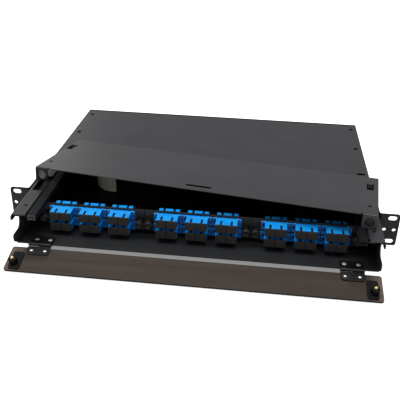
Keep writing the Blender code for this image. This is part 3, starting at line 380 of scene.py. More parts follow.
class Coat(Enum):
    """Finishes of the panel; a material has a darker one where the photograph keeps its faces in shade."""

    # Charcoal powder on the case, its covers and the lid: dark grey with a pale satin sheen
    CASE = PowderCoat("charcoal_powder_coat", "black_powder_coat", "#252629", 0.44, light="#313235")
    # The same powder painted near black as deep shade: inside the tray, on the case's rails, on the lid's
    # slot walls, undersides and pockets, and on the cups' walls
    TRAY = PowderCoat("tray_powder_coat", "black_tray_coat", "#0e0e0f", 0.62, light="#161617", specular=0.16)
    # The same powder painted darker than the case's as half shade, on the adapter plates and on the case's
    # floor; a little greyer than the deep shade, nearer the light
    PLATE = PowderCoat("plate_powder_coat", "black_tray_coat", "#1b1c1d", 0.50, light="#262728", specular=0.4)
    # The case's powder painted light grey in the cup behind the left bracket's hole, as the light that falls
    # into it
    CUP = PowderCoat("grey_cup_paint", "black_powder_coat", "#6e7072", 0.50, light="#7e8082")
    # Near-black powder on the ears, and on the lid's left bracket as painted shade
    EAR = PowderCoat("ear_powder_coat", "black_ear_coat", "#0c0d0f", 0.50, light="#151618", specular=0.35)
    # Baked black enamel on the pressed hinges: smoother and glossier than the powder
    HINGE = PowderCoat(
        "hinge_enamel", "black_hinge_coat", "#0a0a0b", 0.38, light="#131315", grain_mm=1.4, specular=0.4
    )
    # Azure PBT of the adapters: clean, bright and slightly glossy
    ADAPTER = Moulding("azure_pbt", "blue_pbt", "#0b93ea", 0.36, light="#17a3fa", scatter_mm=0.4)
    # The same PBT on the upright faces, which the tray keeps in half shade
    ADAPTER_SIDE = Moulding("half_shaded_pbt", "blue_pbt", "#045ca6", 0.36, light="#076abb", scatter_mm=0.4)
    # The same PBT inside the ports, where next to no light comes
    PORT = Moulding("shaded_pbt", "blue_pbt", "#03192b", 0.50, light="#05233c", specular=0.3)
    # Dark brown-black elastomer of the dust caps: nearly matt
    CAP = Moulding(
        "cap_elastomer", "dark_cap_plastic", "#13110f", 0.62, light="#1c1815", grain_mm=0.6, depth_mm=0.02
    )
    # Black nylon of the rivets and latches: satin, with soft edges
    NYLON = Moulding("black_nylon_66", "black_nylon", "#040405", 0.58, light="#0a0a0b", specular=0.18)
    # Polished black nylon of the rivets' knobs: dark, with thin bright arcs
    KNOB = Moulding("black_knob_nylon", "black_nylon", "#141516", 0.24, light="#1f2021", grain_mm=0.8)
    # Cream ABS of the spool: matt and slightly warm
    SPOOL = Moulding("cream_abs", "cream_abs", "#d2ccba", 0.55, light="#e0dacb", scatter_mm=0.6)
    # Turned brass of the latch plungers: warm, and painted paler than brass as a painted highlight on the
    # tips
    BRASS = TurnedMetal("turned_brass", "brass", "#fbe7a6", 0.38, dark="#c9a862")
    # Stainless steel of the adapters' clips and the door's studs
    STEEL = TurnedMetal("spring_steel", "black_powder_coat", "#c9c6c0", 0.30, dark="#7d7a75")
    # Dull zinc of the floor studs: pale and even
    ZINC = TurnedMetal("dull_zinc", "black_powder_coat", "#d2d1ce", 0.62, dark="#a9a8a5")
    # Zirconia of the alignment sleeves: white and glossy
    CERAMIC = Moulding("zirconia", "cream_abs", "#e9e6dc", 0.20, light="#f1efe8", scatter_mm=0.3)
    # Black oxide of the screws: near black, with next to no sheen; the same near black is painted shade on
    # the rear cover's folded edge, on its slots' walls and on the pads under them
    SCREW = PowderCoat(
        "black_oxide", "black_ear_coat", "#030303", 0.60, light="#060606", grain_mm=0.5, specular=0.06
    )
    # Smoked acrylic door
    DOOR = SmokedAcrylic("smoked_acrylic", "smoked_acrylic", "#362e28", 0.18)
    # The door's cut edges, which the photograph shows dark
    DOOR_EDGE = Moulding(
        "polished_acrylic_edge",
        "smoked_acrylic",
        "#0e0b09",
        0.30,
        light="#17120f",
        depth_mm=0.001,
        specular=0.12,
    )


MATERIALS: dict[Coat, bpy.types.Material] = {}


def material_of(coat: Coat) -> bpy.types.Material:
    """Find the material of a finish, which is made once.

    Args:
        coat: Finish.

    Returns:
        Its material.
    """
    if coat not in MATERIALS:
        MATERIALS[coat] = coat.value.build()
    return MATERIALS[coat]


# Meshes


def link(name: str, mesh: bpy.types.Mesh) -> bpy.types.Object:
    """Put a mesh in the scene as an object at the origin.

    Args:
        name: Name of the object.
        mesh: Its mesh.

    Returns:
        The object.
    """
    item = bpy.data.objects.new(name, mesh)
    bpy.context.scene.collection.objects.link(item)
    return item


def from_bmesh(name: str, body: bmesh.types.BMesh) -> bpy.types.Object:
    """Turn a bmesh into an object and free it.

    Args:
        name: Name of the object.
        body: Bmesh that is used up.

    Returns:
        The object.
    """
    mesh = bpy.data.meshes.new(name)
    body.to_mesh(mesh)
    body.free()
    return link(name, mesh)


def bake(item: bpy.types.Object) -> bpy.types.Object:
    """Apply an object's modifiers to its mesh.

    Args:
        item: Object with live modifiers.

    Returns:
        The same object, with a plain mesh.
    """
    bpy.context.view_layer.update()
    graph = bpy.context.evaluated_depsgraph_get()
    mesh = bpy.data.meshes.new_from_object(item.evaluated_get(graph))
    item.modifiers.clear()
    item.data = mesh
    return item


def cad_copy(node: str) -> bmesh.types.BMesh:
    """Copy of a CAD node as clean faces, from its loose triangles.

    Args:
        node: Name of the node.

    Returns:
        The copy, with its points merged and its flat faces joined.
    """
    body = bmesh.new()
    body.from_mesh(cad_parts[node].data)
    bmesh.ops.remove_doubles(body, verts=body.verts, dist=POINTS_APART)
    bmesh.ops.dissolve_limit(body, angle_limit=FLAT_ANGLE, verts=body.verts, edges=body.edges)
    return body


def soften(item: bpy.types.Object, width_mm: float) -> bpy.types.Object:
    """Round an object's sharp edges so that they catch light, and shade it smooth.

    Args:
        item: Object to finish.
        width_mm: Width of the rounding.

    Returns:
        The same object.
    """
    edge = item.modifiers.new("edge", "BEVEL")
    edge.width = width_mm * MM
    edge.segments = EDGE_STEPS
    edge.limit_method = "ANGLE"
    edge.angle_limit = EDGE_ANGLE
    edge.use_clamp_overlap = False
    edge.miter_outer = "MITER_ARC"
    bake(item)
    item.data.shade_smooth()
    even = item.modifiers.new("even", "WEIGHTED_NORMAL")
    even.keep_sharp = True
    even.weight = 100
    return bake(item)


def dress(
    item: bpy.types.Object,
    body: str,
    coats: Sequence[Coat],
    replaces: Iterable[str] = (),
    pick: Callable[[Vector, Vector], int] | None = None,
) -> bpy.types.Object:
    """Give a finished piece its materials and tie it to its body.

    Args:
        item: Finished piece.
        body: CAD body that it rides.
        coats: Its finishes, the main one first.
        replaces: CAD nodes that it stands for.
        pick: Gives the number of a face's finish from its middle and its normal.

    Returns:
        The same object.
    """
    item.data.materials.clear()
    for coat in coats:
        item.data.materials.append(material_of(coat))
    for face in item.data.polygons:
        face.material_index = pick(face.center, face.normal) if pick else 0
    names = list(replaces)
    if names:
        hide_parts(*names)
    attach(item, body)
    LOG.info("%s on %s, %d faces", item.name, body, len(item.data.polygons))
    return item


def dressed_node(name: str, node: str, body: str, coat: Coat, edge_mm: float) -> bpy.types.Object:
    """Copy a CAD node, round its edges and dress it in one finish.

    Args:
        name: Name of the piece.
        node: CAD node that it stands for.
        body: CAD body that it rides.
        coat: Its finish.
        edge_mm: Width of the rounding.

    Returns:
        The finished piece.
    """
    item = soften(from_bmesh(name, cad_copy(node)), edge_mm)
    return dress(item, body, (coat,), (node,))


def split(body: bmesh.types.BMesh, place: float, low: float) -> bmesh.types.BMesh:
    """Split a copy's upper faces where a change of finish crosses them.

    Args:
        body: Copy of a node.
        place: Where along Y they are split.
        low: Least height of the faces that are split.

    Returns:
        The same copy.
    """
    upper = [face for face in body.faces if face.normal.z > FACES_UP and face.calc_center_median().z > low]
    geometry = set(upper)
    for face in upper:
        geometry.update(face.edges)
        geometry.update(face.verts)
    bmesh.ops.bisect_plane(body, geom=list(geometry), plane_co=(0.0, place, 0.0), plane_no=(0.0, 1.0, 0.0))
    return body


# Geometry Nodes


@dataclass
class Recipe:
    """A Geometry Nodes tree in the making, with named inputs."""

    name: str
    tree: bpy.types.NodeTree = field(init=False)
    source: bpy.types.Node = field(init=False)
    sockets: dict[str, str] = field(default_factory=dict)

    def __post_init__(self) -> None:
        """Start the tree with a geometry input."""
        self.tree = bpy.data.node_groups.new(self.name, "GeometryNodeTree")
        self.tree.interface.new_socket(name="Geometry", in_out="INPUT", socket_type="NodeSocketGeometry")
        self.tree.interface.new_socket(name="Geometry", in_out="OUTPUT", socket_type="NodeSocketGeometry")
        self.source = self.tree.nodes.new("NodeGroupInput")

    def take(self, name: str, kind: str = "Float") -> bpy.types.NodeSocket:
        """Add a named input.

        Args:
            name: Name of the input.
            kind: Socket type without its prefix.

        Returns:
            The socket to link from.
        """
        socket = self.tree.interface.new_socket(name=name, in_out="INPUT", socket_type="NodeSocket" + kind)
        self.sockets[name] = socket.identifier
        return self.source.outputs[name]

    def add(
        self, kind: str, settings: dict[str, object] | None = None, links: dict | None = None
    ) -> bpy.types.Node:
        """Add a node to the tree."""
        return add_node(self.tree, kind, settings, links)

    def close(self, geometry: bpy.types.NodeSocket, coat: Coat) -> None:
        """End the tree: realise the copies and set their material.

        Args:
            geometry: Last geometry socket.
            coat: Finish of the result.
        """
        real = self.add("GeometryNodeRealizeInstances", links={"Geometry": geometry})
        dressed = self.add(
            "GeometryNodeSetMaterial",
            links={"Geometry": real.outputs[0], "Material": material_of(coat)},
        )
        self.add("NodeGroupOutput", links={"Geometry": dressed.outputs[0]})

    def grow(self, name: str, seed: bpy.types.Mesh, values: dict[str, object]) -> bpy.types.Object:
        """Run the tree on a mesh and keep the result as a plain mesh.

        Args:
            name: Name of the new object.
            seed: Mesh that the tree starts from.
            values: Inputs by name.

        Returns:
            The object, without the modifier.
        """
        item = link(name, seed)
        modifier = item.modifiers.new(self.name, "NODES")
        modifier.node_group = self.tree
        for key, value in values.items():
            modifier[self.sockets[key]] = value
        return bake(item)


def spots(
    name: str, places: Iterable[Sequence[float]], turns: Iterable[Sequence[float]] = ()
) -> bpy.types.Mesh:
    """Mesh of loose points, for trees that put a copy on each.

    Args:
        name: Name of the mesh.
        places: Where the copies go.
        turns: Euler angles of each copy, none for copies that aren't turned.

    Returns:
        The mesh, with the angles in its attribute "turn".
    """
    mesh = bpy.data.meshes.new(name)
    mesh.from_pydata([tuple(place) for place in places], [], [])
    kept = mesh.attributes.new("turn", "FLOAT_VECTOR", "POINT")
    for entry, turn in zip(kept.data, turns):
        entry.vector = turn
    return mesh


def copier(name: str, coat: Coat) -> Recipe:
    """Tree that puts a copy of an object on each point of a mesh.

    Args:
        name: Name of the tree.
        coat: Finish of the copies.

    Returns:
        The finished recipe, with the inputs Piece, Sway and Seed.
    """
    recipe = Recipe(name)
    piece = recipe.take("Piece", "Object")
    sway = recipe.take("Sway", "Vector")
    seed = recipe.take("Seed", "Int")
    info = recipe.add("GeometryNodeObjectInfo", links={"Object": piece, "As Instance": True})
    turn = recipe.add("GeometryNodeInputNamedAttribute", {"data_type": "FLOAT_VECTOR"}, {"Name": "turn"})
    chance = recipe.add(
        "FunctionNodeRandomValue",
        {"data_type": "FLOAT_VECTOR"},
        {"Min": (-1.0, -1.0, -1.0), "Max": (1.0, 1.0, 1.0), "Seed": seed},
    )
    scaled = recipe.add("ShaderNodeVectorMath", {"operation": "MULTIPLY"}, {0: chance.outputs[0], 1: sway})
    summed = {0: scaled.outputs[0], 1: turn.outputs[0]}
    total = recipe.add("ShaderNodeVectorMath", {"operation": "ADD"}, summed)
    angles = recipe.add("FunctionNodeEulerToRotation", links={"Euler": total.outputs[0]})
    copies = recipe.add(
        "GeometryNodeInstanceOnPoints",
        links={
            "Points": recipe.source.outputs["Geometry"],
            "Instance": info.outputs["Geometry"],
            "Rotation": angles.outputs[0],
        },
    )
    recipe.close(copies.outputs[0], coat)
    return recipe


@dataclass
class Pattern:
    """One piece that repeats, with the tree that copies it."""

    piece: bpy.types.Object
    coat: Coat
    soft_mm: float = 0.0
    recipe: Recipe = field(init=False)

    def __post_init__(self) -> None:
        """Make the tree."""
        self.recipe = copier(self.piece.name + "_copies", self.coat)

    def lay(
        self,
        name: str,
        body: str,
        places: Iterable[Sequence[float]],
        turns: Iterable[Sequence[float]] = (),
        replaces: Iterable[str] = (),
        sway: Sequence[float] = (0.0, 0.0, 0.0),
        seed: int = 1,
        others: Sequence[Coat] = (),
        pick: Callable[[Vector, Vector], int] | None = None,
    ) -> bpy.types.Object:
        """Copy the piece to each place as one object and dress it.

        Args:
            name: Name of the object.
            body: CAD body that it rides.
            places: Where the copies go.
            turns: Euler angles of each copy.
            replaces: CAD nodes that it stands for.
            sway: Largest chance turn about each axis, in radians.
            seed: Seed of the chance turns.
            others: Finishes of the faces that pick gives 1, 2 and so on.
            pick: Gives the number of a face's finish from its middle and its normal.

        Returns:
            The finished object.
        """
        values = {"Piece": self.piece, "Sway": tuple(sway), "Seed": seed}
        item = self.recipe.grow(name, spots(name, places, turns), values)
        if self.soft_mm > 0.0:
            soften(item, self.soft_mm)
        return dress(item, body, (self.coat, *others), replaces, pick)

    def close(self) -> None:
        """Remove the piece that was copied."""
        bpy.data.objects.remove(self.piece, do_unlink=True)


# Primitive shapes


def box_into(body: bmesh.types.BMesh, low: Sequence[float], high: Sequence[float]) -> None:
    """Add a box between two corners to a bmesh.

    Args:
        body: Bmesh that takes it.
        low: Its low corner.
        high: Its high corner.
    """
    size = Vector(high) - Vector(low)
    middle = (Vector(high) + Vector(low)) / 2
    place = Matrix.Translation(middle) @ Matrix.Diagonal((*size, 1.0))
    bmesh.ops.create_cube(body, size=1.0, matrix=place)


def boxes(name: str, corners: Iterable[tuple[Sequence[float], Sequence[float]]]) -> bpy.types.Object:
    """Make an object of separate boxes.

    Args:
        name: Name of the object.
        corners: Low and high corner of each box.

    Returns:
        The object.
    """
    body = bmesh.new()
    for low, high in corners:
        box_into(body, low, high)
    return from_bmesh(name, body)


@dataclass(frozen=True)
class Slot:
    """A slot with round ends through a flat sheet, lying along X."""

    x: float
    y: float
    length: float
    width: float

    def prism(self, body: bmesh.types.BMesh, low: float, high: float) -> None:
        """Add the slot's upright prism to a bmesh.

        Args:
            body: Bmesh that takes it.
            low: Height of its underside.
            high: Height of its top.
        """
        radius, reach = self.width / 2, (self.length - self.width) / 2
        rings: list[list[bmesh.types.BMVert]] = [[], []]
        for end, start in ((1, -0.5), (-1, 0.5)):
            for index in range(SLOT_STEPS + 1):
                angle = math.pi * (start + index / SLOT_STEPS)
                x = self.x + end * reach + radius * math.cos(angle)
                y = self.y + radius * math.sin(angle)
                rings[0].append(body.verts.new((x, y, low)))
                rings[1].append(body.verts.new((x, y, high)))
        body.faces.new(rings[0][::-1])
        body.faces.new(rings[1])
        for index in range(len(rings[0])):
            after = (index + 1) % len(rings[0])
            body.faces.new((rings[0][index], rings[0][after], rings[1][after], rings[1][index]))

    def holds(self, place: Vector) -> bool:
        """Tell whether a point lies in the slot or on its walls.

        Args:
            place: Point.

        Returns:
            True where it does.
        """
        across = abs(place.x - self.x) - self.length / 2
        along = abs(place.y - self.y) - self.width / 2
        return across < SLOT_MARGIN and along < SLOT_MARGIN


def prisms(name: str, slots: Iterable[Slot], low: float, high: float) -> bpy.types.Object:
    """Make an object of the prisms of slots.

    Args:
        name: Name of the object.
        slots: Slots.
        low: Height of the prisms' undersides.
        high: Height of their tops.

    Returns:
        The object.
    """
    body = bmesh.new()
    for entry in slots:
        entry.prism(body, low, high)
    return from_bmesh(name, body)


def tube(
    name: str, profile: Sequence[tuple[float, float]], steps: int = 24, place: Matrix | None = None
) -> bpy.types.Object:
    """Revolve a closed profile of (radius, height) points round Z.

    Args:
        name: Name of the object.
        profile: Points from the top of the axis, down the outside, to the bottom.
        steps: Sides of the round.
        place: Transform of the result.

    Returns:
        The object.
    """
    body = bmesh.new()
    rings = []
    for radius, height in profile:
        if radius < POINTS_APART:
            rings.append([body.verts.new((0, 0, height))])
            continue
        ring = []
        for index in range(steps):
            angle = math.tau * index / steps
            ring.append(body.verts.new((radius * math.cos(angle), radius * math.sin(angle), height)))
        rings.append(ring)
    for upper, lower in zip(rings, rings[1:]):
        for index in range(steps):
            after = (index + 1) % steps
            if len(upper) == 1:
                body.faces.new((upper[0], lower[index], lower[after]))
            elif len(lower) == 1:
                body.faces.new((upper[index], lower[0], upper[after]))
            else:
                body.faces.new((upper[index], lower[index], lower[after], upper[after]))
    bmesh.ops.recalc_face_normals(body, faces=body.faces)
    if place:
        bmesh.ops.transform(body, matrix=place, verts=body.verts)
    item = from_bmesh(name, body)
    item.data.shade_smooth()
    item.data.set_sharp_from_angle(angle=math.radians(35))
    return item


def carve(item: bpy.types.Object, tool: bpy.types.Object) -> bpy.types.Object:
    """Cut a tool out of an object and remove the tool.

    Args:
        item: Object that is cut.
        tool: Object that is cut out of it.

    Returns:
        The object that was cut.
    """
    hole = item.modifiers.new("hole", "BOOLEAN")
    hole.object = tool
    hole.operation = "DIFFERENCE"
    hole.solver = "EXACT"
    bake(item)
    bpy.data.objects.remove(tool, do_unlink=True)
    return item


def screw(name: str, radius_mm: float, height_mm: float, recess_mm: float) -> bpy.types.Object:
    """Pan head with a cross recess, its underside at the origin and its top up.

    Args:
        name: Name of the object.
        radius_mm: Radius of the head.
        height_mm: Height of the head.
        recess_mm: Length of each bar of the cross.

    Returns:
        The screw's head with a short shank.
    """
    radius, height = radius_mm * MM, height_mm * MM
    profile = [
        (0.0, height),
        (0.62 * radius, 0.96 * height),
        (0.88 * radius, 0.78 * height),
        (radius, 0.45 * height),
        (radius, 0.0),
        (0.55 * radius, 0.0),
        (0.55 * radius, -height),
        (0.0, -height),
    ]
    head = tube(name, profile)
    reach, half = recess_mm * MM / 2, 0.14 * recess_mm * MM
    bottom = 0.35 * height
    cross = boxes(
        "cross",
        [
            ((-reach, -half, bottom), (reach, half, 2 * height)),
            ((-half, -reach, bottom), (half, reach, 2 * height)),
        ],
    )
    return carve(head, cross)


# Sub-assemblies


@dataclass
class Case:
    """Chassis, rear cover, ears and their screws."""

    edge_mm: float = 0.18
    hinge_reach: tuple[float, float] = (0.1690, 0.1980)
    hinge_rear: float = -0.0460
    hinge_top: float = 0.0065
    rail_reach: tuple[float, float] = (0.1955, 0.2055)
    rail_height: tuple[float, float] = (0.0340, 0.0412)
    rail_lit_front: float = -0.0560
    cover_screw_x: float = 0.2060
    cover_screw_y: tuple[float, float] = (0.1830, 0.2570)
    cover_screw_z: float = 0.0445
    cover_screw_mm: tuple[float, float, float] = (2.9, 0.6, 2.6)
    cover_slot: tuple[float, float, float, float] = (0.2048, 0.0995, 0.0110, 0.0050)
    cover_cut: tuple[float, float] = (0.0400, 0.0480)
    cover_edge: float = 0.2734
    cover_skin: float = 0.0005
    pad_lift: tuple[float, float] = (0.0001, 0.0002)
    flange_z: float = 0.0430
    floor_top: float = 0.0016
    stud_places: tuple[float, float] = (0.1752, 0.1916)
    stud_y: float = -0.0545
    stud_z: float = 0.0027
    ear_screw_x: float = 0.2173
    ear_screw_y: float = 0.0280
    ear_screw_z: tuple[float, float] = (0.01075, 0.03225)
    ear_screw_mm: tuple[float, float, float] = (3.1, 1.5, 3.2)

    def finish_of(self, middle: Vector, normal: Vector) -> int:
        """Choose the finish of a chassis face.

        Args:
            middle: Middle of the face.
            normal: Its normal.

        Returns:
            1 on the floor's hinge leaves, 2 on the rails and 3 on the floor, both in painted shade, and 0
            elsewhere, also on the lit front end of the right rail.
        """
        out = abs(middle.x)
        at_rail = self.rail_height[0] < middle.z < self.rail_height[1]
        if normal.z > FACES_UP and middle.z < self.floor_top:
            return 3
        if middle.x > self.rail_reach[0] and middle.y < self.rail_lit_front and at_rail:
            return 0
        if self.hinge_reach[0] < out < self.hinge_reach[1] and middle.y < self.hinge_rear:
            if self.floor_top < middle.z < self.hinge_top:
                return 1
        if self.rail_reach[0] < out < self.rail_reach[1] and at_rail:
            return 2
        return 0

    def screws(self) -> None:
        """Set the screws of the cover's corners and of the ears' legs."""
        small = Pattern(screw("small_screw", *self.cover_screw_mm), Coat.SCREW)
        x, z = self.cover_screw_x, self.cover_screw_z
        places = [(side.value * x, y, z) for side in Side for y in self.cover_screw_y]
        small.lay("case_cover_screws", "chassis", places, sway=(0.0, 0.0, 3.0), seed=4)
        small.close()
        large = Pattern(screw("ear_screw", *self.ear_screw_mm), Coat.SCREW)
        x, y = self.ear_screw_x, self.ear_screw_y
        places = [(side.value * x, y, z) for side in Side for z in self.ear_screw_z]
        turns = [(0.0, side.value * math.pi / 2, 0.0) for side in Side for _ in self.ear_screw_z]
        large.lay("case_ear_screws", "chassis", places, turns, sway=(3.0, 0.0, 0.0), seed=7)
        large.close()

    def studs(self) -> None:
        """Rivet the hinge leaves to the floor with flat bright studs."""
        profile = [(0.0, 0.16), (2.25, 0.12), (2.6, -0.02), (2.62, -0.2), (1.5, -0.3), (0.0, -0.3)]
        pattern = Pattern(tube("floor_stud", [(r * MM, h * MM) for r, h in profile], 24), Coat.ZINC)
        places = [(side.value * x, self.stud_y, self.stud_z) for side in Side for x in self.stud_places]
        pattern.lay("case_floor_studs", "chassis", places)
        pattern.close()

    def cover(self) -> None:
        """Build the rear cover, with its slots opened a little and its folded edge in shade."""
        x, y, length, width = self.cover_slot
        slots = [Slot(side.value * x, y, length, width) for side in Side]
        body = split(cad_copy("rear_cover"), self.cover_edge, self.flange_z)
        shell = from_bmesh("case_rear_cover", body)
        carve(shell, prisms("cover_slots", slots, *self.cover_cut))
        soften(shell, self.edge_mm)

        def finish_of(middle: Vector, normal: Vector) -> int:
            """Choose the finish of a cover face.

            Args:
                middle: Middle of the face.
                normal: Its normal, which makes no difference here.

            Returns:
                1, painted shade, on the folded edge and on the slots' walls, 0 elsewhere.
            """
            edge = middle.y > self.cover_edge and middle.z > self.flange_z + self.cover_skin
            return int(edge or any(entry.holds(middle) for entry in slots))

        dress(shell, "chassis", (Coat.CASE, Coat.SCREW), ("rear_cover",), finish_of)
        # Thin near-black pads under the cover's slots: painted shade where the flange shows through them
        low, high = (self.flange_z + lift for lift in self.pad_lift)
        pads = prisms("case_slot_pads", slots, low, high)
        dress(pads, "chassis", (Coat.SCREW,))

    def build(self) -> None:
        """Build and dress every piece of the case."""
        chassis = soften(from_bmesh("case_shell", cad_copy("chassis")), self.edge_mm)
        coats = (Coat.CASE, Coat.HINGE, Coat.TRAY, Coat.PLATE)
        dress(chassis, "chassis", coats, ("chassis",), self.finish_of)
        self.cover()
        for side in Side:
            label = side.label
            dressed_node("case_ear_" + label, "rack_ear_" + label, "chassis", Coat.EAR, self.edge_mm)
        self.studs()
        self.screws()


@dataclass
class Lid:
    """Lift-off front lid, with cups for the door's plungers and pockets behind its openings."""

    edge_mm: float = 0.15
    width: float = 0.4275
    bracket_middle: float = 0.0085
    cup_drop: float = 0.0093
    cup_radius_mm: float = 5.7
    cup_depths_mm: tuple[float, float] = (2.6, 5.0)
    opening: float = 0.0085
    opening_back: tuple[float, float] = (0.0840, 0.0816)
    opening_end: float = 0.1040
    opening_margin: float = 0.0003
    insets: tuple[float, float] = (0.0020, 0.0060)
    skin: float = 0.0004
    bracket_back: float = 0.0014
    slot_cut: float = 0.0060
    longer_cut: tuple[float, float] = (-0.0016, 0.0040)
    pocket_top_mm: float = -1.25
    pocket_drop_mm: float = 5.0
    pocket_sheet_mm: float = 0.4
    patch_front_mm: float = 0.3
    notch_x: float = 0.0168
    notch: float = 0.0028
    slots: tuple[Slot, ...] = (
        Slot(0.21375, 0.0126, 0.0330, 0.0056),
        Slot(0.0085, 0.0262, 0.0054, 0.0042),
        Slot(0.4173, 0.0262, 0.0054, 0.0042),
    )

    def finish_of(self, middle: Vector, normal: Vector) -> int:
        """Choose the finish of a lid face.

        Args:
            middle: Middle of the face.
            normal: Its normal.

        Returns:
            1, painted deep shade, in the slots and under the openings, 2, painted shade, on the left bracket
            and 0 elsewhere.
        """
        place = LID_FRAME.inverted() @ middle
        below = place.z < -self.skin
        if below and place.y < self.bracket_back and place.x < 2 * self.bracket_middle + SLOT_MARGIN:
            return 2
        margin = self.opening + max(self.insets) + self.opening_margin
        if below and min(place.x, self.width - place.x) < margin:
            if self.opening_back[1] < place.y < self.opening_end + self.opening_margin:
                return 1
        up = (LID_FRAME.to_3x3() @ Vector((0.0, 0.0, 1.0))).dot(normal)
        return int(up < 0.8 and any(entry.holds(place) for entry in self.slots))

    def cups(self) -> None:
        """Put a pressed cup, which takes the door's plunger, behind each bracket's hole. The left cup is
        painted light grey, the right cup keeps the case's powder, and both cups' walls are painted deep
        shade.
        """
        radius = self.cup_radius_mm
        turn = (LID_ANGLES.to_matrix() @ Euler((math.pi / 2, 0.0, 0.0)).to_matrix()).to_euler()
        ahead = LID_FRAME.to_3x3() @ Vector((0.0, 1.0, 0.0))
        for side, depth in zip(Side, self.cup_depths_mm):
            profile = [(0.0, -depth), (radius - 0.6, -depth), (radius, 0.6 - depth), (radius, -1.3)]
            profile += [(radius + 0.6, -1.3), (radius + 0.6, 0.4 - depth), (radius - 0.4, -0.6 - depth)]
            profile += [(0.0, -0.6 - depth)]
            left = side is Side.LEFT
            cup = tube("cup", [(r * MM, h * MM) for r, h in profile], 32)
            # Painted light in the left cup, the case's powder in the right one; pick paints both cups' walls
            # in deep shade
            pattern = Pattern(cup, Coat.CUP if left else Coat.CASE)
            x = self.bracket_middle if left else self.width - self.bracket_middle
            pattern.lay(
                "lid_cup_" + side.label,
                "lid",
                [LID_FRAME @ Vector((x, 0.0, -self.cup_drop))],
                [turn],
                others=(Coat.TRAY,),
                pick=lambda middle, normal: int(abs(ahead.dot(normal)) < 0.5),
            )
            pattern.close()

    def pockets(self) -> None:
        """Hang a shallow pocket under each opening and a patch under each bend's notch, painted near black as
        the shade there.
        """
        sheet, drop = self.pocket_sheet_mm * MM, self.pocket_drop_mm * MM
        top = self.pocket_top_mm * MM
        far = self.opening_end
        corners = []
        lows = (self.insets[0], self.width - self.insets[1] - self.opening)
        for low, near in zip(lows, self.opening_back):
            left, right = low - sheet, low + self.opening + sheet
            corners.append(((left, near - sheet, top - drop), (right, far + sheet, top - drop + sheet)))
            corners.append(((left, near - sheet, top - drop), (low, far + sheet, top)))
            corners.append(((right - sheet, near - sheet, top - drop), (right, far + sheet, top)))
            corners.append(((left, near - sheet, top - drop), (right, near, top)))
            corners.append(((left, far, top - drop), (right, far + sheet, top)))
        front = self.patch_front_mm * MM
        for low in (self.notch_x, self.width - self.notch_x - self.notch):
            corners.append(((low, front, top - sheet), (low + self.notch, self.notch, top)))
        item = boxes("lid_pockets", corners)
        item.data.transform(LID_FRAME)
        dress(item, "lid", (Coat.TRAY,))

    def build(self) -> None:
        """Build and dress the lid."""
        lid = from_bmesh("lid_sheet", cad_copy("front_lid"))
        openings = prisms("lid_slots", self.slots, -self.slot_cut, self.slot_cut)
        openings.data.transform(LID_FRAME)
        carve(lid, openings)
        low = self.width - self.insets[1] - self.opening
        under, over = self.longer_cut
        corner = (low + self.opening, self.opening_back[0] + SLOT_MARGIN, over)
        longer = boxes("longer", [((low, self.opening_back[1], under), corner)])
        longer.data.transform(LID_FRAME)
        carve(lid, longer)
        soften(lid, self.edge_mm)
        dress(lid, "lid", (Coat.CASE, Coat.TRAY, Coat.EAR), ("front_lid",), self.finish_of)
        self.cups()
        self.pockets()


@dataclass
class Tray:
    """Slide tray with its plates and spool."""

    edge_mm: float = 0.18
    spool_edge_mm: float = 0.4
    nose_front: float = -0.0645
    nose_low: float = 0.0300

    def finish_of(self, middle: Vector, normal: Vector) -> int:
        """Give 1, the case's powder, on the front end of the left channel, which is in the light, and 0,
        painted deep shade, elsewhere.
        """
        return int(middle.x < 0.0 and middle.y < self.nose_front and middle.z > self.nose_low)

    def build(self) -> None:
        """Build and dress the tray's sheet, plates and spool."""
        tray = soften(from_bmesh("tray_sheet", cad_copy("slide_tray")), self.edge_mm)
        dress(tray, "tray", (Coat.TRAY, Coat.CASE), ("slide_tray",), self.finish_of)
        for label in ("left", "middle", "right"):
            dressed_node("tray_plate_" + label, "adapter_plate_" + label, "tray", Coat.PLATE, self.edge_mm)
        dressed_node("tray_spool", "fibre_spool", "tray", Coat.SPOOL, self.spool_edge_mm)


